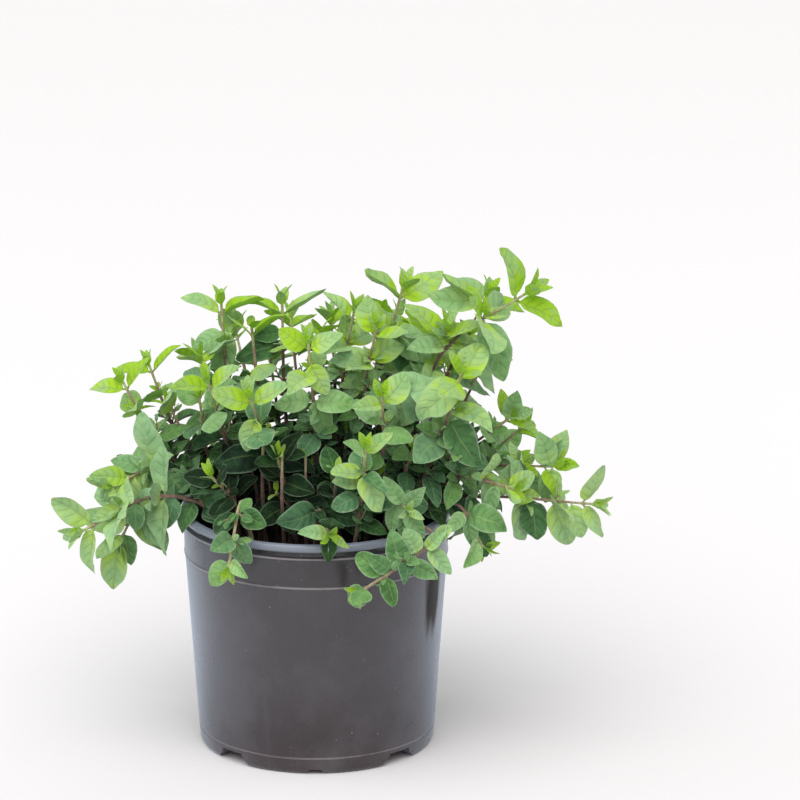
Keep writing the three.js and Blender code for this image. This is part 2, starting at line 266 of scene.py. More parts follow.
sky = bpy.data.worlds.new("sky")
sky.use_nodes = True
background = sky.node_tree.nodes["Background"]
background.inputs["Color"].default_value = (*SKY_WHITE, 1)
background.inputs["Strength"].default_value = SKY_STRENGTH
bpy.context.scene.world = sky
sun = add_light("sun", "SUN", SUN_STRENGTH, -SUN_PLACE)
sun.data.angle = SUN_DISC
for name, place, width, power, colour in SOFTBOXES:
    softbox = add_light(name, "AREA", power, LIGHT_TARGET - Vector(place))
    softbox.location = place
    softbox.data.shape = "RECTANGLE"
    softbox.data.size = width
    softbox.data.size_y = SOFTBOX_HEIGHT
    softbox.data.color = colour

# %% [markdown]
# ## Mesh helpers
# A finished piece is one plain mesh at the origin, with its place in its vertices. Everything
# rides on the one body of the plant.

# %% Helpers for pieces
def add_piece(name, mesh, replaced=()):
    piece = put_in_scene(name, mesh)
    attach(piece, "root")
    if replaced:
        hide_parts(*replaced)
    return piece


def settled_mesh(obj, name):
    """What an object looks like with its modifiers, as a plain mesh. The object goes."""
    graph = bpy.context.evaluated_depsgraph_get()
    mesh = bpy.data.meshes.new_from_object(obj.evaluated_get(graph), depsgraph=graph)
    mesh.name = name
    bpy.data.objects.remove(obj)
    return mesh


def closed_mesh(shape, name):
    """The mesh of a closed shape, with all its faces looking outwards."""
    bmesh.ops.recalc_face_normals(shape, faces=shape.faces)
    return mesh_of(shape, name)


def triangle_count(mesh):
    return sum(len(face.vertices) - 2 for face in mesh.polygons)


# %% [markdown]
# ## The pot
# A nursery pot is injection moulded in one go: a tapered wall, a collar that stands a little
# proud of it, an undercut where a carrying tray grips, and a rolled lip. All of that is round,
# so the pot could be a Screw modifier on a profile. Here the profile is a short list of
# corners, each with its own rounding, and a small function turns it round the axis, because
# that keeps the sizes readable. The drain notches and holes are then cut with Booleans.

# %% The pot's profile
POT_SIDES = 224
ARC_STEPS = 4
ARC_REACH = 0.45
ON_AXIS = 1e-9
WALL_LOW_RADIUS = 58.2
WALL_TOP_RADIUS = 64.8
WALL_TOP = 97.6
FLOOR_TOP = 3.8
INSIDE_LOW_RADIUS = 56.0
INSIDE_TOP_RADIUS = 63.0
POT_TOP = 120.0


def wall_radius(z):
    return WALL_LOW_RADIUS + (WALL_TOP_RADIUS - WALL_LOW_RADIUS) * z / WALL_TOP


def inside_radius(z):
    share = (z - FLOOR_TOP) / (POT_TOP - FLOOR_TOP)
    return INSIDE_LOW_RADIUS + (INSIDE_TOP_RADIUS - INSIDE_LOW_RADIUS) * share


# Radius, height and rounding of each corner, from the middle of the base to the middle inside.
POT_CORNERS = [
    (0, 0, 0), (24, 0, 0.5), (25.5, 2.4, 0.5), (47.5, 2.4, 0.5), (49, 0, 0.5), (57.9, 0, 2.2),
    (wall_radius(7.6), 7.6, 0.1), (wall_radius(8) - 0.3, 7.9, 0.08), (wall_radius(8.5), 8.4, 0.1),
    (wall_radius(96.8), 96.8, 0.3), (65.15, 97.05, 0.22), (65.35, 97.7, 0.3), (65.0, 98.3, 0.3),
    (65.3, 111.8, 0.4), (65.75, 112.2, 0.25), (65.65, 112.9, 0.3), (63.8, 113.4, 0.5),
    (63.7, 115.9, 0.4), (66.5, 116.15, 0.5), (66.8, 117.9, 1.2), (66.0, 119.9, 1.1),
    (63.7, 119.9, 0.9), (62.9, 118.4, 0.6),
    (inside_radius(FLOOR_TOP), FLOOR_TOP, 1.5), (0, FLOOR_TOP, 0),
]


def rounded(corners):
    """The corners' outline in metres, with an arc in place of each corner that has a rounding."""
    outline = []
    for i, (radius, height, rounding) in enumerate(corners):
        corner = Vector((radius, height))
        if rounding == 0:
            outline.append(corner * MM)
            continue
        legs = [Vector(corners[i + side][:2]) - corner for side in (-1, 1)]
        reach = [min(rounding, leg.length * ARC_REACH) for leg in legs]
        start, end = [corner + leg.normalized() * r for leg, r in zip(legs, reach)]
        for step in range(ARC_STEPS + 1):
            t = step / ARC_STEPS
            outline.append(((1 - t) ** 2 * start + 2 * t * (1 - t) * corner + t * t * end) * MM)
    return outline


def turned(name, outline, sides):
    """A closed shape turned round Z from an outline that starts and ends on the axis."""
    shape = bmesh.new()
    rings = []
    for point in outline:
        if point.x < ON_AXIS:
            rings.append([shape.verts.new((0, 0, point.y))])
            continue
        angles = [math.tau * k / sides for k in range(sides)]
        rings.append([
            shape.verts.new((point.x * math.cos(a), point.x * math.sin(a), point.y)) for a in angles
        ])
    for lower, upper in zip(rings, rings[1:]):
        for k in range(sides):
            corners = [lower[k % len(lower)], lower[(k + 1) % len(lower)]]
            corners += [upper[(k + 1) % len(upper)], upper[k % len(upper)]]
            shape.faces.new(list(dict.fromkeys(corners)))
    return closed_mesh(shape, name)


pot_mesh = turned("pot", rounded(POT_CORNERS), POT_SIDES)
print("pot wall as turned:", triangle_count(pot_mesh), "triangles")

# %% The pot's drain notches and holes
LARGE_NOTCH = (13, 4.5, 6)
SMALL_NOTCH = (6, 2, 2)
NOTCH_FROM = 46.0
NOTCH_TO = 61.6
NOTCH_STEPS = 8
HOLE_RADIUS = 3.2
HOLE_CIRCLE = 36.0
HOLE_SIDES = 32
HOLE_DEPTH = 6 * FLOOR_TOP
BELOW_FOOT = 1
SHARP_ANGLE = math.radians(32)


def notch_cutter(shape, width, flare, height, turn):
    """A block that cuts one notch, with sides that flare in a soft S, out of the foot."""
    side = []
    for step in range(NOTCH_STEPS + 1):
        t = step / NOTCH_STEPS
        half = width / 2 + flare * (1 - t * t * (3 - 2 * t))
        side.append((half, (height + BELOW_FOOT) * t - BELOW_FOOT))
    outline = [(-y, z) for y, z in side] + list(reversed(side))
    spin = Matrix.Rotation(turn, 4, "Z") @ Matrix.Scale(MM, 4)
    ends = []
    for x in (NOTCH_FROM, NOTCH_TO):
        ends.append([shape.verts.new(spin @ Vector((x, y, z))) for y, z in outline])
    shape.faces.new(ends[0])
    shape.faces.new(ends[1])
    for k in range(len(outline)):
        shape.faces.new([ends[0][k], ends[0][k - 1], ends[1][k - 1], ends[1][k]])


def drain_cutters():
    shape = bmesh.new()
    for quarter in range(4):
        angle = math.radians(90 * quarter)
        notch_cutter(shape, *LARGE_NOTCH, math.radians(45 + 90 * quarter))
        notch_cutter(shape, *SMALL_NOTCH, angle)
        place = Vector((HOLE_CIRCLE * math.cos(angle), HOLE_CIRCLE * math.sin(angle), 0)) * MM
        bmesh.ops.create_cone(
            shape, cap_ends=True, segments=HOLE_SIDES, radius1=HOLE_RADIUS * MM,
            radius2=HOLE_RADIUS * MM, depth=HOLE_DEPTH * MM, matrix=Matrix.Translation(place),
        )
    return closed_mesh(shape, "drain_cutters")


def cut_pot(mesh):
    whole = put_in_scene("whole_pot", mesh)
    cutters = put_in_scene("drain_cutters", drain_cutters())
    cut = whole.modifiers.new("drains", "BOOLEAN")
    cut.operation = "DIFFERENCE"
    cut.solver = "EXACT"
    cut.object = cutters
    result = settled_mesh(whole, "pot_shell")
    bpy.data.objects.remove(cutters)
    result.shade_smooth()
    result.set_sharp_from_angle(angle=SHARP_ANGLE)
    return result


pot_mesh = cut_pot(pot_mesh)
print("pot with its drains:", triangle_count(pot_mesh), "triangles")

# %% [markdown]
# ## Pot plastic
# The pot is dark brown-grey polypropylene with a soft gloss. Recycled plastic is never quite
# even: it is a little cloudy, pale dust sits on it and fine scuffs run round it. Light and shade
# are painted on it too: shade on the collar and towards the foot, a highlight where light
# catches the ledges, the sky mirrored in the lip, and dark dull runs below the rim for the
# shadows and dark reflections of the stems that hang over it. All of this could be painted, but
# noise that reads Object coordinates needs no unwrapping and doesn't slide. The runs, and the
# dust with the ledge highlights, each come from one small function.

# %% Wear and painted light of the pot
PLASTIC_BROWN = (0.037, 0.030, 0.032)
PLASTIC_SHADED_FOOT = (0.019, 0.009, 0.010)
PLASTIC_CLOUD = (0.056, 0.049, 0.053)
LIP_SKY_REFLECTION = (0.195, 0.216, 0.262)
PALE_DUST_AND_LIGHT = (0.36, 0.31, 0.30)
BLOOM_BLUE = (0.56, 0.70, 0.90)
PAINTED_SHADOW_BROWN = (0.012, 0.009, 0.009)
# Dark runs below the rim, painted shadows and dark reflections of the overhanging stems: angle
# round the pot in degrees, height of the middle, half width, half height, and how dark it is.
SHADOW_RUNS = [(-25.5, 85, 8.5, 26, 0.95), (-76, 103, 3.0, 14, 0.6), (150, 70, 5.0, 30, 0.35)]
WALL_MIDDLE_RADIUS = 62
DUSTY_LIT_LEDGES = (8.2, 97.6, 112.5)


def shadow_runs(recipe, place, drag):
    """Painted shadows of the overhanging stems: upright soft ellipses, each at its own place on the wall,
    with ragged edges.
    """
    shadow_run = 0.0
    for turn, middle, half_width, half_height, darkest in SHADOW_RUNS:
        towards = Vector((math.cos(math.radians(turn)), math.sin(math.radians(turn))))
        centre = towards * WALL_MIDDLE_RADIUS * MM
        spread = recipe.vector("SUBTRACT", place, (*centre, middle * MM))
        scale = (1 / (half_width * MM), 1 / (half_width * MM), 1 / (half_height * MM))
        distance = recipe.vector("LENGTH", recipe.vector("MULTIPLY", spread, scale)).outputs["Value"]
        ragged = recipe.plus(distance, recipe.times(drag, 0.9))
        shadow_run = recipe.larger(shadow_run, recipe.between(ragged, 1.0, 1.6, darkest, 0.0))
    return shadow_run


def dust_and_ledge_light(recipe, place, height, cloud):
    """Fine pale dust specks all over, a thin film round the foot, and on the ledges a pale line that is
    partly dust and partly a painted highlight.
    """
    specks = recipe.add("TexVoronoi", {"feature": "F1"}, Vector=place, Scale=260.0).outputs["Distance"]
    sparse = recipe.noise(place, 90.0)
    dust = recipe.times(recipe.between(specks, 0.0, 0.16, 1.0, 0.0), recipe.between(sparse, 0.55, 0.7))
    ledges = 0.0
    for ledge in DUSTY_LIT_LEDGES:
        gap = recipe.alone("ABSOLUTE", recipe.minus(height, ledge * MM))
        ledges = recipe.larger(ledges, recipe.between(gap, 0.0001, 0.0006, 0.6, 0.0))
    ledges = recipe.times(ledges, recipe.between(cloud, 0.3, 0.6, 0.35, 1.0))
    foot = recipe.times(recipe.between(height, 0.0, 0.02, 0.12, 0.0), cloud)
    return recipe.larger(dust, ledges, foot, clamp=True)


# %% Pot plastic
def pot_plastic():
    recipe = Recipe("pot_plastic_moulded")
    place = recipe.place()
    height = recipe.add("SeparateXYZ", Vector=place).outputs[2]
    cloud = recipe.noise(place, 34.0, 5.0, 0.6)
    stretched = recipe.add("Mapping", Vector=place, Scale=(150.0, 150.0, 14.0)).outputs[0]
    drag = recipe.noise(stretched, 1.0, 3.0, 0.7)
    shadow_run = shadow_runs(recipe, place, drag)
    dust_and_light = dust_and_ledge_light(recipe, place, height, cloud)

    # Painted shade near the floor: the wall turns darker and redder towards the foot.
    colour = recipe.blend(recipe.between(height, 0.0, 0.055), PLASTIC_SHADED_FOOT, PLASTIC_BROWN)
    colour = recipe.blend(recipe.between(cloud, 0.42, 0.72, 0.0, 0.7), colour, PLASTIC_CLOUD)
    colour = recipe.blend(recipe.between(drag, 0.5, 0.8, 0.0, 0.35), colour, PLASTIC_CLOUD)
    # Painted shade: the collar under the lip and the overhanging leaves is darker.
    colour = recipe.blend(recipe.between(height, 0.096, 0.099, 0.0, 0.45), colour, PAINTED_SHADOW_BROWN)
    # Painted reflection of the sky: the lip is a paler and cooler grey.
    colour = recipe.blend(recipe.between(height, 0.1155, 0.1175, 0.0, 0.9), colour, LIP_SKY_REFLECTION)
    # Painted shadows and dark reflections of the overhanging stems, as dark runs.
    colour = recipe.blend(shadow_run, colour, PAINTED_SHADOW_BROWN)
    # Pale dust, and on the ledges a painted highlight where light catches them.
    colour = recipe.blend(recipe.times(dust_and_light, 0.9), colour, PALE_DUST_AND_LIGHT)

    rough = recipe.between(cloud, 0.3, 0.7, 0.22, 0.34)
    rough = recipe.plus(rough, recipe.times(dust_and_light, 0.3), recipe.times(shadow_run, 0.15), clamp=True)
    grain = recipe.noise(place, 900.0)
    relief = recipe.add("Bump", Strength=0.25, Distance=0.0002, Height=recipe.plus(grain, drag))
    # The wall has less bloom near the ground. A painted shadow run has none and shines less, as a painted
    # dark reflection.
    shine = recipe.minus(0.55, recipe.times(shadow_run, 0.5))
    bloom = recipe.times(recipe.between(height, 0.0, 0.07, 0.36, 0.68), recipe.minus(1.0, shadow_run))
    plastic = recipe.add("BsdfPrincipled", Base_Color=colour, Roughness=rough, Normal=relief,
                         IOR=1.5, Specular_IOR_Level=shine, Sheen_Weight=bloom, Sheen_Roughness=0.46,
                         Sheen_Tint=BLOOM_BLUE)
    return recipe.finish(plastic)


pot_mesh.materials.clear()
pot_mesh.materials.append(pot_plastic())
pot_piece = add_piece("nursery_pot", pot_mesh, ["pot"])
print("pot piece in mm:", [round(c / MM, 1) for c in pot_piece.dimensions])

# %% [markdown]
# ## Potting soil
# The soil is a dark peat mix, a low crown a finger's breadth under the rim. Its bed is a turned
# shape whose top is roughened with noise. Loose crumbs make it real: Geometry Nodes scatter
# them over the top, because they are many, alike and follow a surface.

# %% The bed of soil
SOIL_EDGE = 105.0
SOIL_CROWN = 3.0
SOIL_GAP = 0.3
SOIL_RINGS = 26
SOIL_SIDES = 72
SOIL_BOTTOM = FLOOR_TOP + SOIL_GAP
SOIL_ROUGHNESS = 1.3
SOIL_WAVES = 14
WAVES_SEED = 7
SMOOTH_BORDER = 6


def soil_bed():
    """The bed with a bumpy top: rings from the rim of the bed to its crown."""
    rng = np.random.default_rng(WAVES_SEED)
    waves = [(rng.uniform(0.08, 0.5, 2), rng.uniform(0, math.tau)) for _ in range(SOIL_WAVES)]
    edge_radius = inside_radius(SOIL_EDGE) - SOIL_GAP
    outline = [Vector((0, SOIL_BOTTOM)), Vector((inside_radius(SOIL_BOTTOM) - SOIL_GAP, SOIL_BOTTOM))]
    for ring in range(SOIL_RINGS + 1):
        share = ring / SOIL_RINGS
        outline.append(Vector((edge_radius * (1 - share), SOIL_EDGE + SOIL_CROWN * share)))
    mesh = turned("soil_bed", [point * MM for point in outline], SOIL_SIDES)
    for vertex in mesh.vertices:
        x, y, z = vertex.co / MM
        inward = min(1, (edge_radius - math.hypot(x, y)) / SMOOTH_BORDER)
        if z > SOIL_EDGE - 1 and inward > 0:
            bumps = sum(math.sin(x * k[0] + y * k[1] + phase) for k, phase in waves) / len(waves)
            vertex.co.z += inward * SOIL_ROUGHNESS * (bumps * 2 - 0.4) * MM
    mesh.shade_smooth()
    return mesh


bed_mesh = soil_bed()
print("soil bed:", triangle_count(bed_mesh), "triangles")


# %% Helpers for Geometry Nodes
class Garden(Nodes):
    """A Geometry Nodes tree with named inputs, built one call at a time."""

    def __init__(self, name, inputs):
        self.tree = bpy.data.node_groups.new(name, "GeometryNodeTree")
        self.tree.interface.new_socket("Geometry", in_out="INPUT", socket_type="NodeSocketGeometry")
        self.keys = {}
        for label, kind in inputs.items():
            kind = "NodeSocket" + kind
            made = self.tree.interface.new_socket(label, in_out="INPUT", socket_type=kind)
            self.keys[label] = made.identifier
        self.tree.interface.new_socket("Geometry", in_out="OUTPUT", socket_type="NodeSocketGeometry")
        self.start = self.tree.nodes.new("NodeGroupInput").outputs
        self.end = self.tree.nodes.new("NodeGroupOutput")

    def named(self, label, kind):
        return self.add("GeometryNodeInputNamedAttribute", {"data_type": kind}, Name=label).outputs[0]

    def centred(self, noise):
        """A noise colour, 0 to 1, as an offset that averages to nothing."""
        half = (0.5, 0.5, 0.5)
        return self.add("ShaderNodeVectorMath", {"operation": "SUBTRACT"}, i0=noise, i1=half)

    def times(self, first, second):
        return self.add("ShaderNodeMath", {"operation": "MULTIPLY"}, i0=first, i1=second)

    def join(self, *parts):
        """Several geometries as one, with real vertices in place of instances."""
        joined = self.add("GeometryNodeJoinGeometry")
        for part in parts:
            self.feed(joined.inputs[0], part)
        return self.add("GeometryNodeRealizeInstances", Geometry=joined)

    def finish(self, geometry):
        self.feed(self.end.inputs[0], geometry)

    def grow(self, name, mesh, values):
        """Runs the tree on a mesh and returns what grows from it as a plain mesh."""
        seed = put_in_scene(name, mesh)
        modifier = seed.modifiers.new("garden", "NODES")
        modifier.node_group = self.tree
        for label, value in values.items():
            modifier[self.keys[label]] = value
        result = settled_mesh(seed, name)
        if result.materials[0] is None:
            result.materials.pop(index=0)
        return result


# %% Crumbs over the soil
CRUMB_DENSITY = 85000.0
CRUMB_SIZES = (0.5 * MM, 1.9 * MM)
CRUMB_SEED = 11
TURN_SEED = 3
SIZE_SEED = 5
LEVEL_ENOUGH = 0.6
PEAT_AGES = [(0.3, (0.010, 0.0065, 0.0045)), (0.62, (0.045, 0.027, 0.017)), (0.8, (0.09, 0.06, 0.04))]


def potting_soil():
    recipe = Recipe("potting_soil_peat")
    place = recipe.place()
    clods = recipe.noise(place, 240.0, 6.0, 0.75)
    fibres = recipe.add("TexVoronoi", Vector=place, Scale=420.0).outputs["Distance"]
    colour = recipe.ramp(clods, PEAT_AGES)
    height = recipe.plus(clods, recipe.times(fibres, 0.5))
    relief = recipe.add("Bump", Strength=0.9, Distance=0.0008, Height=height)
    soil = recipe.add("BsdfPrincipled", Base_Color=colour, Roughness=0.95, Normal=relief)
    return recipe.finish(soil)


def crumb_tree(material):
    inputs = {"Density": "Float", "Smallest": "Float", "Largest": "Float", "Seed": "Int"}
    garden = Garden("soil crumbs", inputs)
    bed, density, smallest, largest, seed = list(garden.start)[:5]
    normal = garden.add("ShaderNodeSeparateXYZ", Vector=garden.add("GeometryNodeInputNormal"))
    top = garden.add("FunctionNodeCompare", {"operation": "GREATER_THAN"}, i0=normal.outputs[2],
                     i1=LEVEL_ENOUGH)
    points = garden.add("GeometryNodeDistributePointsOnFaces", Mesh=bed, Selection=top,
                        Density=density, Seed=seed)
    ball = garden.add("GeometryNodeMeshIcoSphere", Radius=0.5, Subdivisions=1)
    noise = garden.add("ShaderNodeTexNoise", Scale=1.7)
    lump = garden.add("GeometryNodeSetPosition", Geometry=ball, Offset=garden.centred(noise.outputs[1]))
    turn = garden.add("FunctionNodeRandomValue", {"data_type": "FLOAT_VECTOR"}, i1=(math.tau,) * 3,
                      Seed=TURN_SEED)
    size = garden.add("FunctionNodeRandomValue", {"data_type": "FLOAT"}, i2=smallest, i3=largest,
                      Seed=SIZE_SEED)
    crumbs = garden.add("GeometryNodeInstanceOnPoints", Points=points, Instance=lump,
                        Rotation=turn.outputs[0], Scale=size.outputs[1])
    real = garden.join(bed, crumbs)
    garden.finish(garden.add("GeometryNodeSetMaterial", Geometry=real, Material=material))
    return garden


crumbs = crumb_tree(potting_soil())
soil_values = {"Density": CRUMB_DENSITY, "Smallest": CRUMB_SIZES[0], "Largest": CRUMB_SIZES[1],
               "Seed": CRUMB_SEED}
soil_mesh = crumbs.grow("soil_with_crumbs", bed_mesh, soil_values)
add_piece("potting_soil_bed", soil_mesh, ["soil"])
print("soil with its crumbs:", triangle_count(soil_mesh), "triangles")

# %% [markdown]
# ## One oregano leaf
# An oregano leaf is a short egg-shaped blade on a thin stalk. Its side veins leave the midrib
# at a slant and arch towards the tip, and the blade swells between them like a quilt. The mesh
# follows the veins: every row of faces is swept forward as a vein is, rows on a vein are
# sunk and rows between two veins are raised. A few dozen faces are enough then, and the UV map
# counts along the rows, so a straight stripe in UV space is an arched vein on the leaf.
#
# A leaf could be a flat card with a painted texture, but its folds and rim show from near. So it
# is a mesh, modelled one metre long and scaled to its real length when it is placed. There are
# six forms, flat, folded or cupped, in three versions each, plus plain small leaves and bud
# scales, so that neighbours hardly ever look alike.

# %% The forms of a leaf
STALK = 0.07
STALK_HALF_WIDTH = 0.026
BLADE_THICKNESS = 0.015
ROUND_FOOT = 0.5
ROUNDED_TIP = 0.74
WIDEST = 0.4335
SWEEP = 0.22
SWEEP_START = 0.8
SWEEP_BEND = 1.4
FOLD_BEND = 1.25
QUILT = 0.019
QUILT_FADE = 0.3
MIDRIB_SINK = 0.030
NEAR_MIDRIB = 0.1
CURL_FROM = 0.62
CURL_RISE = 2.2
WAVES = 9
OTHER_SIDE = 1.3
VEIN_ROWS = (0.20, 0.38, 0.56, 0.74)

# Width over length, fold of the two halves in degrees, lift at the root, sag to the tip.
LEAF_FORMS = [
    (0.64, 14, 0.10, 0.20), (0.58, 22, 0.06, 0.10), (0.68, -10, 0.16, 0.34),
    (0.62, 8, 0.12, 0.28), (0.56, 30, 0.04, 0.22), (0.70, -14, 0.08, 0.16),
]
BUD_FORM = (0.46, 12, 0.02, 0.20)

# How the versions of a form differ: bend to one side, curl of the tip, wave of the margin, phase.
LEAF_VERSIONS = [(0.0, 0.05, 0.012, 0.0), (0.045, 0.16, 0.02, 2.1), (-0.05, 0.10, 0.026, 4.0)]

LARGE_ROWS = (0, 0.07, 0.10, 0.14, 0.20, 0.29, 0.38, 0.47, 0.56, 0.65, 0.74, 0.87, 1)
LARGE_COLUMNS = (-1, -0.62, -0.17, 0, 0.17, 0.62, 1)
SMALL_ROWS = (0, 0.07, 0.17, 0.38, 0.56, 0.76, 1)
SMALL_COLUMNS = (-1, -0.5, 0, 0.5, 1)


def half_width(y, width):
    """Half the width of the leaf, stalk and egg-shaped blade, at a share y of its length."""
    blade = min(1.0, max(0.0, (y - STALK) / (1 - STALK)))
    egg = blade**ROUND_FOOT * (1 - blade) ** ROUNDED_TIP / WIDEST
    return max(STALK_HALF_WIDTH * (1 - blade), 0.5 * width * egg)


def leaf_point(row, column, form, version, is_small):
    """Where a row and a column of the blade's upper face meet."""
    width, fold, lift, sag = form
    bend, curl, wave, phase = version
    inside = min(1.0, max(0.0, (row - STALK) / (1 - STALK)))
    across = abs(column)
    y = row + SWEEP * math.sin(math.pi * inside) ** SWEEP_START * across**SWEEP_BEND
    half = half_width(y, width)
    slope = math.radians(fold)
    x = column * half * math.cos(slope) + bend * y * y
    z = lift * y - sag * y * y + across**FOLD_BEND * half * math.sin(slope)
    z -= curl * max(0, y - CURL_FROM) ** 2 * CURL_RISE
    other_side = OTHER_SIDE if column > 0 else 0
    z += wave * across**2 * math.sin(WAVES * row + phase + other_side) * min(1, 3 * inside)
    if row > STALK and not is_small:
        swell = 1 - abs(2 * across - 1) ** 2
        is_vein = row in VEIN_ROWS
        z += QUILT * swell * (-1 if is_vein else 1) * (1 - row) ** QUILT_FADE
        z -= MIDRIB_SINK * (across < NEAR_MIDRIB) * (1 - row) ** QUILT_FADE
    return Vector((x, y, z))


def leaf_sides(shape, form, version, is_small):
    """The corners of the upper and the lower face by row and column. They share rim and tip."""
    rows = SMALL_ROWS if is_small else LARGE_ROWS
    columns = SMALL_COLUMNS if is_small else LARGE_COLUMNS
    top, bottom = {}, {}
    for i, row in enumerate(rows):
        for j, column in enumerate(columns):
            is_tip = i == len(rows) - 1
            if is_tip and j > 0:
                top[i, j] = bottom[i, j] = top[i, 0]
                continue
            spot = leaf_point(row, 0 if is_tip else column, form, version, is_small)
            top[i, j] = bottom[i, j] = shape.verts.new(spot)
            if abs(column) < 1 and not is_tip:
                depth = max(BLADE_THICKNESS, 1.3 * STALK_HALF_WIDTH) if row <= STALK else BLADE_THICKNESS
                bottom[i, j] = shape.verts.new(spot - Vector((0, 0, depth)))
    return rows, columns, top, bottom


def leaf_mesh(name, form, version, is_small):
    """A closed blade, thin at its rim, whose UV map counts across and along the rows."""
    shape = bmesh.new()
    uv = shape.loops.layers.uv.new("leaf_uv")
    below = shape.faces.layers.float.new("underside")
    rows, columns, top, bottom = leaf_sides(shape, form, version, is_small)
    for grid, is_below in ((top, 0.0), (bottom, 1.0)):
        for i in range(len(rows) - 1):
            for j in range(len(columns) - 1):
                keys = [(i, j), (i, j + 1), (i + 1, j + 1), (i + 1, j)]
                if is_below:
                    keys.reverse()
                corners = {}
                for key in keys:
                    corners.setdefault(grid[key], key)
                face = shape.faces.new(list(corners))
                face[below] = is_below
                face.smooth = True
                for loop in face.loops:
                    a, b = corners[loop.vert]
                    loop[uv].uv = (0.5 + 0.5 * columns[b], rows[a])
    last = len(columns) - 1
    cap = [top[0, j] for j in range(last + 1)] + [bottom[0, j] for j in range(last - 1, 0, -1)]
    shape.faces.new(cap)
    for edge in shape.edges:
        if len(edge.link_faces) == 2 and edge.link_faces[0][below] != edge.link_faces[1][below]:
            edge.smooth = False
    return closed_mesh(shape, name)


# %% The box of leaves
FIRST_SMALL = len(LEAF_FORMS) * len(LEAF_VERSIONS)
FIRST_BUD = FIRST_SMALL + len(LEAF_FORMS)


def leaf_box():
    """A collection with every leaf, in the order in which Geometry Nodes pick them."""
    box = bpy.data.collections.new("leaf_box")
    kinds = [(form, version, False) for form in LEAF_FORMS for version in LEAF_VERSIONS]
    kinds += [(form, LEAF_VERSIONS[k % 3], True) for k, form in enumerate(LEAF_FORMS)]
    kinds += [(BUD_FORM, LEAF_VERSIONS[0], True), (BUD_FORM, LEAF_VERSIONS[1], True)]
    for number, kind in enumerate(kinds):
        mesh = leaf_mesh(f"leaf_{number:02d}", *kind)
        box.objects.link(bpy.data.objects.new(mesh.name, mesh))
    return box


leaves = leaf_box()
faces = [len(o.data.polygons) for o in leaves.objects]
print("leaves in the box:", len(faces), "with", min(faces), "to", max(faces), "faces")

# %% [markdown]
# ## Leaf green and stem
# The colour of a leaf depends on its age and place. Buds are yellow-green, leaves in the sun
# are a soft apple green, and old leaves inside the plant are dark; the shade there is painted
# into their colour. It could be a painted texture, but each leaf has its own age, so the
# material works from two numbers that every leaf carries: how fresh it is, with the painted
# light and shade of its place, and `blue`, which shifts some leaves to a cooler green. The veins
# come from the UV map. The fine hairs of the leaf make it look velvety, so it gets sheen and a
# high roughness, and part of the light shines through the blade.

# %% Leaf green
# Greens from old leaves in deep painted shade at 0 to fresh buds in the light at 1.
GREEN_BY_AGE_AND_LIGHT = [
    (0.0, (0.008, 0.022, 0.008)), (0.2, (0.030, 0.085, 0.026)), (0.42, (0.095, 0.235, 0.060)),
    (0.62, (0.205, 0.415, 0.115)), (0.8, (0.360, 0.600, 0.235)), (0.92, (0.480, 0.690, 0.220)),
    (1.0, (0.500, 0.760, 0.030)),
]
COOL_BY_AGE_AND_LIGHT = [
    (0.0, (0.010, 0.026, 0.016)), (0.42, (0.100, 0.235, 0.115)), (0.8, (0.350, 0.580, 0.300)),
    (1.0, (0.480, 0.680, 0.240)),
]
UNDER_GREEN = (0.30, 0.44, 0.20)
PALE_MARGIN_GLINT = (0.42, 0.55, 0.36)
DOWN_GREEN = (0.85, 1.0, 0.8)
VEIN_PALE = (0.36, 0.50, 0.18)
VEIN_SHADE = (0.35, 0.45, 0.3)
SHINE_THROUGH = (0.34, 0.62, 0.04)


def off_middle(recipe, beat):
    """How far a place is from the middle between two beats, 0 to a half."""
    return recipe.alone("ABSOLUTE", recipe.minus(recipe.alone("FRACT", beat), 0.5))


def vein_pattern(recipe, uv, across, on_blade):
    """Midrib, side veins on every other row of the UV map, the valleys there, and finer veins."""
    step = VEIN_ROWS[1] - VEIN_ROWS[0]
    beat = recipe.maths("DIVIDE", recipe.minus(uv[1], VEIN_ROWS[0] - step / 2), step)
    phase = off_middle(recipe, beat)
    valley = recipe.times(recipe.between(phase, 0.0, 0.42, 1.0, 0.0), on_blade,
                          recipe.between(across, 0.5, 1.0, 1.0, 0.0))
    vein = recipe.times(recipe.between(phase, 0.0, 0.12, 1.0, 0.0), on_blade,
                        recipe.between(across, 0.55, 0.95, 1.0, 0.1))
    third = off_middle(recipe, recipe.times(beat, 3.0))
    fine = recipe.times(recipe.between(third, 0.0, 0.2, 0.4, 0.0), on_blade)
    midrib = recipe.larger(recipe.between(across, 0.02, 0.09, 1.0, 0.0),
                           recipe.between(uv[1], 0.05, 0.09, 1.0, 0.0))
    return midrib, vein, valley, fine


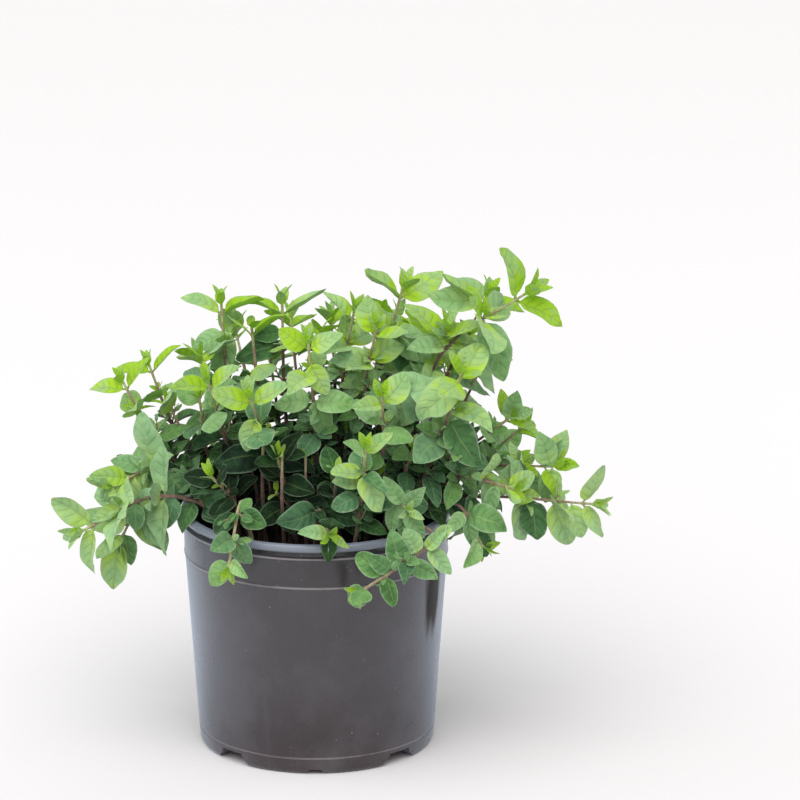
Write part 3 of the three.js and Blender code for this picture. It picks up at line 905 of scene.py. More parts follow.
def leaf_green():
    recipe = Recipe("oregano_leaf")
    place = recipe.place()
    uv = recipe.add("SeparateXYZ", Vector=recipe.add("UVMap", {"uv_map": "leaf_uv"})).outputs
    fresh, cool, below = [recipe.fact(name) for name in ("fresh", "blue", "underside")]
    across = recipe.alone("ABSOLUTE", recipe.minus(recipe.times(uv[0], 2.0), 1.0))
    on_blade = recipe.between(uv[1], 0.08, 0.13)
    midrib, vein, valley, fine = vein_pattern(recipe, uv, across, on_blade)

    # The foot of a young blade is yellower than its tip.
    foot = recipe.times(recipe.between(uv[1], 0.1, 0.6, 0.16, 0.0), recipe.between(fresh, 0.45, 0.8))
    mottle = recipe.between(recipe.noise(place, 150.0, 4.0, 0.6), 0.25, 0.75, -0.09, 0.09)
    # Age and painted light and shade together pick the green.
    age_and_light = recipe.plus(fresh, mottle, foot, clamp=True)
    colour = recipe.ramp(age_and_light, GREEN_BY_AGE_AND_LIGHT)
    colour = recipe.blend(recipe.times(cool, 0.85), colour, recipe.ramp(age_and_light, COOL_BY_AGE_AND_LIGHT))
    shade = recipe.plus(recipe.times(recipe.larger(vein, fine), 0.11), recipe.times(valley, 0.06))
    colour = recipe.blend(shade, colour, VEIN_SHADE, "MULTIPLY")
    pale_rib = recipe.times(midrib, recipe.between(fresh, 0.1, 0.6, 0.12, 0.5))
    colour = recipe.blend(pale_rib, colour, VEIN_PALE)
    # The underside is paler, but neither on a bud nor deep in the shade.
    under = recipe.times(below, recipe.between(fresh, 0.6, 0.95, 0.35, 0.1),
                         recipe.between(fresh, 0.1, 0.5))
    colour = recipe.blend(under, colour, UNDER_GREEN)
    # Pale hairs along the margin, with a painted highlight where they catch the light. On a dark leaf
    # they show as a fine pale line.
    edge = recipe.times(recipe.between(across, 0.86, 0.97), on_blade,
                        recipe.between(fresh, 0.05, 0.5, 0.2, 0.42))
    colour = recipe.blend(edge, colour, PALE_MARGIN_GLINT)

    net = recipe.add("TexVoronoi", {"feature": "DISTANCE_TO_EDGE"}, Vector=place, Scale=780.0)
    mesh_vein = recipe.between(net, 0.0, 0.16, 0.5, 0.0)
    ribs = recipe.larger(midrib, vein)
    relief = recipe.plus(recipe.times(ribs, -1.0), recipe.times(fine, -0.5),
                         recipe.times(mesh_vein, -0.35), recipe.times(valley, -0.8))
    relief = recipe.add("Bump", Strength=0.5, Distance=0.0005, Height=relief)
    down = recipe.between(fresh, 0.15, 0.7, 0.06, 0.36)
    shine = recipe.between(fresh, 0.1, 0.6, 0.08, 0.35)
    blade = recipe.add("BsdfPrincipled", Base_Color=colour, Roughness=0.58, Normal=relief,
                       Sheen_Weight=down, Sheen_Roughness=0.4, Sheen_Tint=DOWN_GREEN,
                       Specular_IOR_Level=shine)
    glow = recipe.blend(0.5, colour, SHINE_THROUGH)
    through = recipe.add("BsdfTranslucent", Color=glow, Normal=relief)
    # Old leaves let hardly any light through, buds let through the most.
    thinness = recipe.plus(recipe.between(fresh, 0.2, 0.8, 0.05, 0.26),
                           recipe.between(fresh, 0.86, 0.95, 0.0, 0.22))
    return recipe.finish(recipe.add("MixShader", i0=thinness, i1=blade, i2=through))


# %% Stem
STEM_AGES = [
    (0.0, (0.060, 0.030, 0.024)), (0.35, (0.150, 0.080, 0.062)), (0.6, (0.260, 0.165, 0.110)),
    (0.8, (0.330, 0.330, 0.140)), (1.0, (0.400, 0.480, 0.160)),
]
STEM_DOWN = (0.5, 0.45, 0.38)


def stem_skin():
    recipe = Recipe("oregano_stem")
    place = recipe.place()
    blotch = recipe.noise(place, 260.0, 4.0, 0.65)
    blotches = recipe.between(blotch, 0.3, 0.7, -0.16, 0.16)
    colour = recipe.ramp(recipe.plus(recipe.fact("young"), blotches, clamp=True), STEM_AGES)
    down = recipe.noise(place, 1800.0)
    colour = recipe.blend(recipe.between(down, 0.55, 0.75, 0.0, 0.3), colour, STEM_DOWN)
    relief = recipe.add("Bump", Strength=0.4, Distance=0.0003, Height=recipe.plus(down, blotch))
    skin = recipe.add("BsdfPrincipled", Base_Color=colour, Roughness=0.6, Normal=relief,
                      Sheen_Weight=0.3, Sheen_Roughness=0.4)
    return recipe.finish(skin)


# %% [markdown]
# ## The rule of a leafy stem
# Each stem leaves the soil at its foot, rises inside the rim, clears it and leans out to its
# tip. Leaves come in opposite pairs, and each pair stands a quarter turn from the last one.
# They could all be placed anew, but the main leaves keep the places of the solids, so the rule
# that placed them there is repeated here. Where a solid blade was shifted to clear its
# neighbours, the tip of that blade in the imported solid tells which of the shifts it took.

# %% Where the stems grow
# Name, foot, via, tip in mm, turn of the youngest pair in degrees, leaf length, pairs of leaves.
SPRIGS = [
    ("plume", (34, -6), (62, -9, 200), (103, -14, 232), 90, 31, 5),
    ("plume_back", (38, 12), (64, 16, 180), (84, 22, 220), 90, 28, 4),
    ("right_star", (32, -16), (60, -36, 162), (71, -54, 203), 20, 27, 5),
    ("right_inner", (30, -2), (54, -4, 177), (64, -10, 213), 90, 26, 4),
    ("top_right", (20, 16), (30, 22, 178), (43, 26, 224), 90, 27, 5),
    ("top_bend", (16, -4), (24, -6, 180), (30, -12, 214), 80, 22, 4),
    ("top_centre", (8, 6), (13, 6, 180), (19, 2, 219), 90, 22, 4),
    ("centre_front", (2, -14), (0, -20, 168), (-3, -30, 212), 0, 21, 5),
    ("back_centre", (4, 26), (9, 42, 168), (7, 52, 202), 60, 21, 4),
    ("back_left", (-10, 22), (-16, 32, 168), (-17, 40, 212), -21, 25, 5),
    ("left_back", (-24, 16), (-43, 24, 167), (-47, 33, 214), -53, 25, 5),
    ("left_front", (-28, -6), (-44, -12, 158), (-52, -21, 190), 60, 21, 4),
    ("mid_left", (-16, -12), (-25, -27, 160), (-31, -39, 187), 29, 24, 5),
    ("left_high", (-40, 14), (-70, 20, 152), (-83, 28, 184), -72, 20, 4),
    ("left_mid", (-44, 2), (-79, 5, 152), (-95, 8, 181), -84, 21, 4),
    ("left_low", (-44, -12), (-76, -12, 143), (-99, -24, 136), 10, 29, 4),
    ("left_trailing", (-38, -26), (-78, -32, 134), (-113, -40, 119), 90, 28, 4),
    ("left_hang", (-44, -6), (-80, -10, 130), (-97, -16, 105), 45, 24, 4),
    ("left_inner", (-34, 2), (-53, 0, 145), (-57, -2, 176), 40, 18, 4),
    ("droop_left", (-26, -32), (-35, -52, 138), (-41, -74, 111), 20, 18, 4),
    ("inner_left", (-22, -26), (-40, -36, 134), (-50, -44, 148), 30, 19, 3),
    ("inner_centre", (-6, -24), (-14, -34, 138), (-18, -44, 158), 70, 20, 4),
    ("front_centre", (-2, -40), (2, -53, 134), (8, -69, 126), 85, 20, 3),
    ("front_stem", (16, -42), (23, -57, 142), (25, -66, 169), 5, 18, 4),
    ("front_up", (22, -20), (33, -37, 160), (33, -50, 190), 25, 22, 4),
    ("front_right", (28, -38), (39, -52, 140), (45, -68, 138), 75, 19, 3),
    ("trail_right", (42, -32), (58, -66, 124), (22, -84, 102), 50, 18, 4),
    ("inner_right", (28, -16), (42, -24, 138), (48, -36, 160), 10, 19, 3),
    ("right_mid", (40, -8), (61, -22, 138), (68, -34, 164), 60, 19, 3),
    ("right_low", (46, -18), (70, -30, 143), (97, -42, 141), 20, 20, 4),
    ("right_droop", (48, -26), (69, -38, 132), (82, -41, 111), 15, 22, 3),
    ("right_far", (48, -6), (84, -16, 129), (136, -22, 127), 90, 24, 5),
    ("right_up", (46, 6), (80, 2, 138), (117, -8, 142), 60, 22, 4),
    ("right_high", (42, 20), (76, 12, 146), (97, 12, 162), 80, 18, 4),
    ("back_a", (-26, 26), (-46, 48, 152), (-60, 66, 178), 20, 21, 4),
    ("back_b", (-18, 38), (-34, 62, 160), (-42, 82, 188), 65, 23, 4),
    ("back_c", (-4, 44), (-10, 66, 160), (-14, 86, 192), 30, 23, 4),
    ("back_d", (12, 46), (16, 74, 140), (16, 96, 150), 0, 22, 4),
    ("back_e", (22, 38), (34, 62, 162), (40, 80, 194), 50, 24, 4),
    ("back_f", (34, 30), (60, 48, 152), (72, 62, 184), 15, 23, 4),
    ("back_g", (48, 28), (78, 48, 132), (98, 62, 124), 35, 21, 4),
    ("back_h", (34, 42), (50, 74, 134), (58, 96, 118), 60, 20, 4),
    ("back_i", (2, 50), (4, 84, 132), (2, 104, 116), 10, 20, 4),
    ("back_j", (-34, 42), (-50, 72, 134), (-56, 92, 124), 75, 20, 4),
    ("back_k", (-42, 36), (-66, 54, 132), (-84, 64, 114), 40, 20, 4),
    ("back_l", (-46, 22), (-72, 30, 130), (-94, 36, 114), 5, 20, 3),
]

# Pairs from the tip down: distance from the tip, share of the leaf length, lean from the stem,
# and droop. The solids hold at most the first five; the older ones below them are added here.
PAIRS = [
    (1.4, 0.5, 34, 0), (4.6, 0.86, 56, 0.05), (19, 1, 66, 0.15), (35, 0.96, 76, 0.25),
    (53, 0.86, 84, 0.32), (69, 0.76, 88, 0.34), (84, 0.68, 90, 0.36), (98, 0.6, 92, 0.38),
    (112, 0.52, 92, 0.38), (126, 0.45, 92, 0.38),
]
REFERENCE_LEAF = 22
STEM_FOOT = SOIL_EDGE - 16
COLLAR_HEIGHT = 124
COLLAR_RADIUS = 56
BEND_PER_STEP = 28
FEWEST_STEPS = 2
ROOT_OFFSET = 0.4
SEED = 20417
TURN_JITTER = 12
LEAN_JITTER = 8
SOLID_SIZES = (0.9, 1.08)
HALF_SOLID_BLADE = 0.31

# Lean, turn and size by which a blade may have been shifted.
SHIFTS = [
    (0, 0, 1), (15, 0, 1), (-15, 0, 1), (0, 20, 1), (0, -20, 1), (25, 15, 0.85), (-25, -15, 0.85),
    (10, 38, 0.75), (10, -38, 0.75), (-35, 0, 0.8), (35, 0, 0.8), (0, 60, 0.8), (0, -60, 0.8),
    (0, 0, 0.6),
]
CLEARLY_BETTER = 0.02
MISSED = 0.2
UP = np.array((0, 0, 1.0))

# The light that leaves turn their faces to: above, outward and to the front.
LIGHT_PULL = 2.6
LIGHT_OUTWARD = 0.9
LIGHT_FRONT = 0.8


# %% The line of a stem
LINE_STEPS = 200
NEARBY = 1e-4


def unit(vector):
    return vector / np.linalg.norm(vector)


def across_of(vector, axis):
    """The part of a vector that stands square on an axis."""
    return vector - axis * np.dot(vector, axis)


class StemLine:
    """A smooth line through foot, collar, via and tip, measured by its length."""

    def __init__(self, foot, via, tip):
        start = np.array((*foot, STEM_FOOT), float)
        via, tip = np.array(via, float), np.array(tip, float)
        collar = start + (via - start) * (COLLAR_HEIGHT - start[2]) / (via[2] - start[2])
        collar[:2] *= min(1, COLLAR_RADIUS / math.hypot(*collar[:2]))
        collar[2] = COLLAR_HEIGHT
        self.knots = [start, collar, via, tip]
        self.shares = np.linspace(0, 1, LINE_STEPS + 1)
        places = np.array([self.at(t) for t in self.shares])
        steps = np.linalg.norm(np.diff(places, axis=0), axis=1)
        self.reach = np.concatenate(([0], np.cumsum(steps)))
        self.length = self.reach[-1]

    def at(self, t):
        """Centripetal Catmull-Rom between the knots, with both ends carried on straight."""
        p = self.knots
        leg = min(int(3 * t), 2)
        around = [2 * p[0] - p[1], *p, 2 * p[3] - p[2]][leg:leg + 4]
        gaps = [math.sqrt(np.linalg.norm(b - a)) for a, b in zip(around, around[1:])]
        x0, x1, x2, x3 = around
        first = (x1 - x0) / gaps[0] - (x2 - x0) / (gaps[0] + gaps[1]) + (x2 - x1) / gaps[1]
        second = (x2 - x1) / gaps[1] - (x3 - x1) / (gaps[1] + gaps[2]) + (x3 - x2) / gaps[2]
        first, second = first * gaps[1], second * gaps[1]
        w = 3 * t - leg
        cubic = 2 * x1 - 2 * x2 + first + second
        square = -3 * x1 + 3 * x2 - 2 * first - second
        return x1 + w * first + w * w * square + w**3 * cubic

    def share(self, u):
        return float(np.interp(u * self.length, self.reach, self.shares))

    def point(self, u):
        return self.at(self.share(u))

    def tangent(self, u):
        t = self.share(u)
        return unit(self.at(min(1, t + NEARBY)) - self.at(max(0, t - NEARBY)))

    def chord_point(self, u):
        """The point on the straight pieces of the stem's solid."""
        legs = [b - a for a, b in zip(self.knots, self.knots[1:])]
        cosines = [min(1, np.dot(unit(a), unit(b))) for a, b in zip(legs, legs[1:])]
        bends = [math.degrees(math.acos(cosine)) for cosine in cosines]
        steps = FEWEST_STEPS + math.ceil(sum(bends) / BEND_PER_STEP)
        piece = min(int(u * steps), steps - 1)
        low, high = self.point(piece / steps), self.point((piece + 1) / steps)
        return low + (high - low) * (u * steps - piece)

    def frame(self, u):
        along = self.tangent(u)
        side = unit(np.cross(UP, self.knots[3] - self.knots[0]))
        side = unit(across_of(side, along))
        return along, side, np.cross(side, along)


# %% The place of a leaf on its stem
class SolidDraws:
    """The seeded draws that gave each solid blade its small differences."""

    def __init__(self, seed):
        self.state = seed

    def between(self, low, high):
        self.state = (self.state * 1664525 + 1013904223) % 2**32
        return low + (high - low) * self.state / 2**32


def axes_of(along, up):
    """Across, along and up of a blade."""
    return np.cross(along, up), along, up


def facing_light(base, along, up, pull):
    """The up of a blade, turned about its length towards the light."""
    light = LIGHT_OUTWARD * unit(np.array((base[0], base[1], 0))) + np.array((0, -LIGHT_FRONT, 1))
    return unit(up + pull * across_of(unit(light), along))


def leaf_axes(frame_axes, base, turn, lean, droop, faces_light=True):
    """Axes of a blade that leans from its stem and turns its face to the light, and its outward."""
    stem, side, out = frame_axes
    outward = out * math.cos(math.radians(turn)) + side * math.sin(math.radians(turn))
    lean = math.radians(lean)
    along = unit(stem * math.cos(lean) + outward * math.sin(lean) - droop * UP)
    up = unit(across_of(stem, along))
    if faces_light:
        up = facing_light(base, along, up, LIGHT_PULL)
    return *axes_of(along, up), outward


def form_of(kind):
    return BUD_FORM if kind < 0 else LEAF_FORMS[kind]


def blade_tip(axes, root, length, form):
    lift, sag = form[2], form[3]
    return root + axes[1] * length + axes[2] * length * (lift - sag)


def tree_of(points):
    """A search tree that finds the nearest of many points."""
    tree = KDTree(len(points))
    for k, point in enumerate(points):
        tree.insert(Vector(point), k)
    tree.balance()
    return tree


# %% The blades of the solids
def solid_blade(tree, axes_here, base, level, droop, turn, lean, length, form):
    """Miss, axes and length of a blade for the shift whose tip is nearest to a packed corner."""
    best = None
    for d_lean, d_turn, d_size in SHIFTS:
        axes = leaf_axes(axes_here, base, turn + d_turn, lean + d_lean, droop, level > 0)
        root = base + axes[3] * ROOT_OFFSET
        end = blade_tip(axes, root, length * d_size, form)
        miss = tree.find(Vector(end + HALF_SOLID_BLADE * axes[2]))[2]
        if best is None or miss < best[0] - CLEARLY_BETTER:
            best = (miss, axes, length * d_size)
    return best


def solid_leaves(sprigs):
    """Every blade that the rule gives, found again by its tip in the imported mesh."""
    draws = SolidDraws(SEED)
    found = []
    for name, foot, via, tip, turn, leaf, pairs in sprigs:
        line = StemLine(foot, via, tip)
        tree = tree_of([corner.co / MM for corner in frame["nodes"][f"sprig_{name}"].data.vertices])
        for level, (along, size, lean, droop) in enumerate(PAIRS[:pairs]):
            u = max(0, 1 - along * leaf / REFERENCE_LEAF / line.length)
            base, axes_here = line.chord_point(u), line.frame(u)
            for side in (0, 180):
                leaf_turn = turn + side + 90 * level + draws.between(-TURN_JITTER, TURN_JITTER)
                leaf_lean = lean + draws.between(-LEAN_JITTER, LEAN_JITTER)
                length = leaf * size * draws.between(*SOLID_SIZES)
                kind = int(draws.between(0, len(LEAF_FORMS))) if level > 0 else -1
                miss, axes, length = solid_blade(tree, axes_here, base, level, droop, leaf_turn,
                                                 leaf_lean, length, form_of(kind))
                found.append({"sprig": name, "level": level, "u": u, "axes": axes, "kind": kind,
                              "length": length, "miss": miss})
    return found


rule_blades = solid_leaves(SPRIGS)
solid_blades = [blade for blade in rule_blades if blade["miss"] <= MISSED]
print("blades that the rule gives:", len(rule_blades), "of which the solids hold", len(solid_blades))
print("largest miss in mm:", round(max(blade["miss"] for blade in solid_blades), 3))

# %% [markdown]
# ## The skeleton of a leafy stem
# Geometry Nodes grow the stems and leaves, because every stem follows the same recipe. What
# they need is a skeleton: a chain of edges for each stem or side shoot, and one loose point for
# each leaf. Named attributes carry the rest: thickness and age of the stem, and turn, length,
# kind and colour of the leaf.

# %% Skeleton
class Skeleton:
    """Chains for stems and loose points for leaves, with their attributes."""

    KINDS = {"is_leaf": "BOOLEAN", "half_side": "FLOAT", "young": "FLOAT", "turn": "FLOAT_VECTOR",
             "leaf_length": "FLOAT", "leaf_kind": "INT", "fresh": "FLOAT", "blue": "FLOAT"}

    def __init__(self):
        self.places = []
        self.edges = []
        self.facts = []

    def add_chain(self, points, half_sides, young):
        first = len(self.places)
        for k, (point, half, youth) in enumerate(zip(points, half_sides, young)):
            self.places.append(point * MM)
            self.facts.append({"half_side": half * MM, "young": youth})
            if k:
                self.edges.append((first + k - 1, first + k))

    def add_leaf(self, root, axes, length, kind, fresh, blue):
        turn = Matrix(np.column_stack(axes[:3]).tolist()).to_euler()
        self.places.append(root * MM)
        self.facts.append({"is_leaf": True, "turn": tuple(turn), "leaf_length": length * MM,
                           "leaf_kind": kind, "fresh": fresh, "blue": blue})

    def mesh(self, name):
        made = bpy.data.meshes.new(name)
        made.from_pydata(self.places, self.edges, [])
        empty = {"is_leaf": False, "turn": (0, 0, 0), "leaf_kind": 0}
        for label, kind in self.KINDS.items():
            values = [fact.get(label, empty.get(label, 0.0)) for fact in self.facts]
            attribute = made.attributes.new(label, kind, "POINT")
            if kind == "FLOAT_VECTOR":
                attribute.data.foreach_set("vector", np.array(values, np.float32).ravel())
            else:
                attribute.data.foreach_set("value", values)
        return made


# %% The leafy stem in Geometry Nodes
def leafy_stem_tree(leaf_material, stem_material):
    inputs = {"Leaves": "Collection", "Corner": "Float", "Unevenness": "Float", "Grain": "Float"}
    garden = Garden("leafy stem", inputs)
    skeleton, box, corner, unevenness, grain = list(garden.start)[:5]
    split = garden.add("GeometryNodeSeparateGeometry", {"domain": "POINT"}, Geometry=skeleton,
                       Selection=garden.named("is_leaf", "BOOLEAN"))
    points, chains = split.outputs

    # Stems: a rounded square swept along every chain.
    line = garden.add("GeometryNodeMeshToCurve", Mesh=chains)
    square = garden.add("GeometryNodeCurvePrimitiveQuadrilateral", Width=2.0, Height=2.0)
    square = garden.add("GeometryNodeFilletCurve", {"mode": "POLY"}, Curve=square, Count=2, Radius=corner)
    stems = garden.add("GeometryNodeCurveToMesh", Curve=line, Profile_Curve=square,
                       Scale=garden.named("half_side", "FLOAT"), Fill_Caps=True)
    stems = garden.add("GeometryNodeSetShadeSmooth", Geometry=stems)

    # Leaves: each point picks its leaf from the box, turned and scaled.
    kinds = garden.add("GeometryNodeCollectionInfo", Collection=box, Separate_Children=True,
                       Reset_Children=True)
    turn = garden.add("FunctionNodeEulerToRotation", Euler=garden.named("turn", "FLOAT_VECTOR"))
    placed = garden.add("GeometryNodeInstanceOnPoints", Points=points, Instance=kinds, Pick_Instance=True,
                        Instance_Index=garden.named("leaf_kind", "INT"), Rotation=turn,
                        Scale=garden.named("leaf_length", "FLOAT"))
    blades = garden.add("GeometryNodeRealizeInstances", Geometry=placed)
    # Every blade is a little uneven in its own way, more so towards its tip.
    noise = garden.add("ShaderNodeTexNoise", Scale=grain, Detail=1.0)
    uv = garden.add("ShaderNodeSeparateXYZ", Vector=garden.named("leaf_uv", "FLOAT_VECTOR"))
    reach = garden.times(uv.outputs[1], unevenness)
    reach = garden.times(reach, garden.named("leaf_length", "FLOAT"))
    offset = garden.add("ShaderNodeVectorMath", {"operation": "SCALE"},
                        i0=garden.centred(noise.outputs[1]), Scale=reach)
    blades = garden.add("GeometryNodeSetPosition", Geometry=blades, Offset=offset)

    real = garden.join(blades, stems)
    dressed = garden.add("GeometryNodeSetMaterial", Geometry=real, Material=stem_material)
    garden.finish(garden.add("GeometryNodeSetMaterial", Geometry=dressed, Material=leaf_material,
                             Selection=garden.named("is_leaf", "BOOLEAN")))
    return garden


stem_garden = leafy_stem_tree(leaf_green(), stem_skin())
STEM_VALUES = {"Leaves": leaves, "Corner": 0.45, "Unevenness": 0.5, "Grain": 55.0}
print("nodes in the tree:", len(stem_garden.tree.nodes))

# %% [markdown]
# ## Where further leaves find room
# The older leaves low on each stem, the shoots in the leaf axils and the young shoots between
# the stems have to fit among what is there. They could be scattered at random, but then most
# would stick in another leaf. So every leaf placed so far leaves a few marks in space, and a
# new one tries several turns, takes the one farthest from all marks, and is left out if even
# that is too close, or if one of its marks lies in the rim of the pot. That is quick but rough:
# a leaf has only five marks and a stem has none, so many leaves still cross a neighbour.

# %% Room among the leaves
# Share of the leaf's length and side of its midrib, in half widths, of each mark.
MARK_SHARES = ((0.3, 0.0), (0.5, 0.6), (0.5, -0.6), (0.7, 0.0), (0.95, 0.0))
RIM_ZONE = (57.5, 67.5)
RIM_CLEAR_HEIGHT = 122
LOWEST_INSIDE = 108
NO_ROOM = -1
rng = np.random.default_rng(SEED)


class Room:
    """Marks of all leaves placed so far."""

    def __init__(self):
        self.marks = []
        self.tree = None

    def marks_of(self, root, axes, length, form):
        width, _, lift, sag = form
        spots = []
        for share, side in MARK_SHARES:
            rise = length * (lift * share - sag * share * share)
            sideways = side * length * width / 2
            spots.append(root + axes[1] * length * share + axes[2] * rise + axes[0] * sideways)
        return spots

    def add(self, spots):
        self.marks.extend(spots)

    def settle(self):
        self.tree = tree_of(self.marks)

    def clearance(self, spots):
        for spot in spots:
            radius = math.hypot(spot[0], spot[1])
            if spot[2] < RIM_CLEAR_HEIGHT and RIM_ZONE[0] < radius < RIM_ZONE[1]:
                return NO_ROOM
            if spot[2] < LOWEST_INSIDE and radius < RIM_ZONE[0]:
                return NO_ROOM
        return min(self.tree.find(Vector(spot))[2] for spot in spots)


room = Room()

# %% [markdown]
# ## How a leaf gets its colour
# Young leaves at the tips are fresh, and each older pair is darker. The light and shade of a
# leaf's place is painted into its colour as well: leaves high up and far out are paler, and those
# in the shade of the others are darker. One rule gives both, and two short tables of stem names
# hold what differs from it: the stem that hangs over the rim is cream-green, and the far shoots
# on either side are a dull sage green up to their tips.

# %% Colours by age and place
FRESH_BY_LEVEL = (1.0, 0.92, 0.82, 0.74, 0.62, 0.5, 0.4, 0.32, 0.26, 0.22)
# How much fresher the leaves of a stem are than the rule makes them.
FRESH_SHIFT = {
    "left_trailing": 0.34, "left_low": 0.3, "left_hang": 0.32, "left_mid": 0.08, "left_high": 0.08,
    "right_far": 0.24, "right_droop": 0.12, "right_up": 0.16, "right_low": 0.16, "right_mid": 0.08,
    "front_stem": 0.12, "front_right": 0.12, "trail_right": -0.02, "droop_left": 0.3, "tall": 0.1,
}
# Stems with dull cool leaves: how fresh their leaves are at most, and how cool at least.
SAGE_STEMS = {"left_trailing", "left_low", "left_hang", "right_far", "front_right"}
SAGE_FRESH = 0.86
SAGE_BLUE = 0.75
BUD_FRESH = 0.97
FRESH_SPREAD = 0.12
SHADED = 0.22
# Where the light begins, and over how many mm it grows to full light: upwards and outwards.
LIGHT_HEIGHTS = (138, 50)
LIGHT_REACHES = (66, 36)
SIDE_LIGHT = 0.75
HOLLOW = np.array((-26, -30, 140))
HOLLOW_SIZE = 34
HOLLOW_SHADE = 0.4
STEM_YOUTH = {
    "droop_left": 0.75, "front_stem": 0.42, "left_trailing": 0.4, "trail_right": 0.45, "right_far": 0.25,
}


def held(value):
    """A value held between 0 and 1."""
    return min(1, max(0, value))


def exposure(point):
    """How much light reaches a place, from 0 deep in the plant to 1 at its top and outside."""
    radius = math.hypot(point[0], point[1])
    from_height = held((point[2] - LIGHT_HEIGHTS[0]) / LIGHT_HEIGHTS[1])
    from_reach = held((radius - LIGHT_REACHES[0]) / LIGHT_REACHES[1])
    return min(1, from_height + SIDE_LIGHT * from_reach)


def in_hollow(point):
    """1 in the middle of the dark hollow over the left front of the soil, 0 away from it."""
    return math.exp(-(np.linalg.norm(point - HOLLOW) / HOLLOW_SIZE) ** 4)


def leaf_colour(name, level, point):
    """Freshness of a leaf, with the painted light and shade of its place, and its coolness."""
    fresh = BUD_FRESH
    if level:
        oldest = len(FRESH_BY_LEVEL) - 1
        # Painted shade: the less light reaches a leaf, the darker its colour.
        fresh = FRESH_BY_LEVEL[min(level, oldest)] * (SHADED + (1 - SHADED) * exposure(point))
    fresh += FRESH_SHIFT.get(name, 0) + rng.uniform(-FRESH_SPREAD, FRESH_SPREAD)
    # Painted shade in the dark hollow.
    fresh = held(fresh - HOLLOW_SHADE * in_hollow(point) * (level > 0))
    blue = max(0, rng.uniform(-0.8, 1)) if level > 1 else 0
    if name in SAGE_STEMS:
        return min(SAGE_FRESH, fresh), max(SAGE_BLUE, blue)
    return fresh, blue


# %% Growing shoots on the skeleton
HALF_SIDE_FOOT = 0.95
HALF_SIDE_TIP = 0.5
NODE_SWELL = 0.28
NODE_REACH = 1.3
CHAIN_STEP = 2.6
YOUNG_FROM = 0.55
YOUNG_RISE = 1.9
SHOOT_CHANCE = 0.85
SHOOT_REACHES = (0, 0, 4.0, 7.0, 10.0, 12.0, 12.0, 10.0, 8.0, 8.0)
SHOOT_LEAVES = {
    "left_trailing": 1.6, "left_low": 1.6, "left_hang": 1.5, "left_mid": 1.3, "right_far": 1.3,
    "right_up": 1.4, "right_high": 1.4, "right_low": 1.3, "plume": 1.15,
}
# How far a side shoot follows the stem, goes outward and goes up, and how far it bends up then.
SHOOT_ALONG = 0.75
SHOOT_OUTWARD = 0.65
SHOOT_UPWARD = 0.25
SHOOT_BEND = 0.35
SHOOT_HALF_SIDES = (0.42, 0.36, 0.28)
SHOOT_YOUTH = (0.45, 0.55, 0.65)
# Share of the leaf length and lean of the pairs of a side shoot, from its bud down.
SHOOT_SHARES = (0.45, 0.8, 1.0, 1.0)
SHOOT_LEANS = (24, 50, 68, 78)
SHOOT_DROOP = 0.1
SIZE_SPREAD = (0.85, 1.1)
SMALL_LEAF = 11.0
# Turn and lean that a new leaf tries in search of room, the least room that it takes in mm and
# as a share of its length, and the share of leaves that the dark hollow loses.
TRIES = ((0, 0), (18, 8), (-18, 8), (0, -22), (34, -8), (-34, -8), (0, 24))
MUCH_CLEARER = 0.5
TIGHTEST = 1.4
TIGHTEST_SHARE = 0.16
HOLLOW_BARE = 0.7
LEAST_LEAN = 12
LOWEST_PAIR = 119
LOWEST_PAIR_SHARE = 0.1


def leaf_kind(kind, length):
    """The number of a leaf in the box: bud scale, small leaf, or one of the versions of a form."""
    if kind < 0:
        return FIRST_BUD + int(rng.integers(2))
    if length < SMALL_LEAF:
        return FIRST_SMALL + kind
    return kind * len(LEAF_VERSIONS) + int(rng.integers(len(LEAF_VERSIONS)))


def any_form():
    return int(rng.integers(len(LEAF_FORMS)))


def grow_main_stem(skeleton, name, line, node_shares):
    """The stem from the soil to its tip, swollen where leaves stand on it."""
    count = int(line.length / CHAIN_STEP)
    shares = sorted({k / count for k in range(count + 1)} | set(node_shares))
    youth = STEM_YOUTH.get(name, 0.0)
    halves, young = [], []
    for u in shares:
        nearest = min(abs(u - node) for node in node_shares) * line.length
        swell = 1 + NODE_SWELL * math.exp(-((nearest / NODE_REACH) ** 2))
        halves.append((HALF_SIDE_FOOT + (HALF_SIDE_TIP - HALF_SIDE_FOOT) * u**1.4) * swell)
        young.append(min(1, max(youth, YOUNG_RISE * (u - YOUNG_FROM))))
    skeleton.add_chain([line.point(u) for u in shares], halves, young)


def try_leaf(skeleton, name, level, base, axes_here, turn, lean, droop, length, kind):
    """A leaf where it has most room among a few turns and leans, or none. Buds may crowd."""
    best = None
    for d_turn, d_lean in TRIES:
        leaned = max(LEAST_LEAN, lean + d_lean)
        axes = leaf_axes(axes_here, base, turn + d_turn, leaned, droop, level > 0)
        root = base + axes[3] * ROOT_OFFSET
        spots = room.marks_of(root, axes, length, form_of(kind))
        clear = room.clearance(spots)
        if best is None or clear > best[0] + MUCH_CLEARER:
            best = (clear, axes, root, spots)
    clear, axes, root, spots = best
    crowded = clear < min(TIGHTEST, TIGHTEST_SHARE * length)
    crowded = crowded or rng.uniform() < HOLLOW_BARE * in_hollow(root)
    if clear < 0 or (crowded and kind >= 0):
        return
    room.add(spots)
    fresh, blue = leaf_colour(name, level, root)
    skeleton.add_leaf(root, axes, length, leaf_kind(kind, length), fresh, blue)


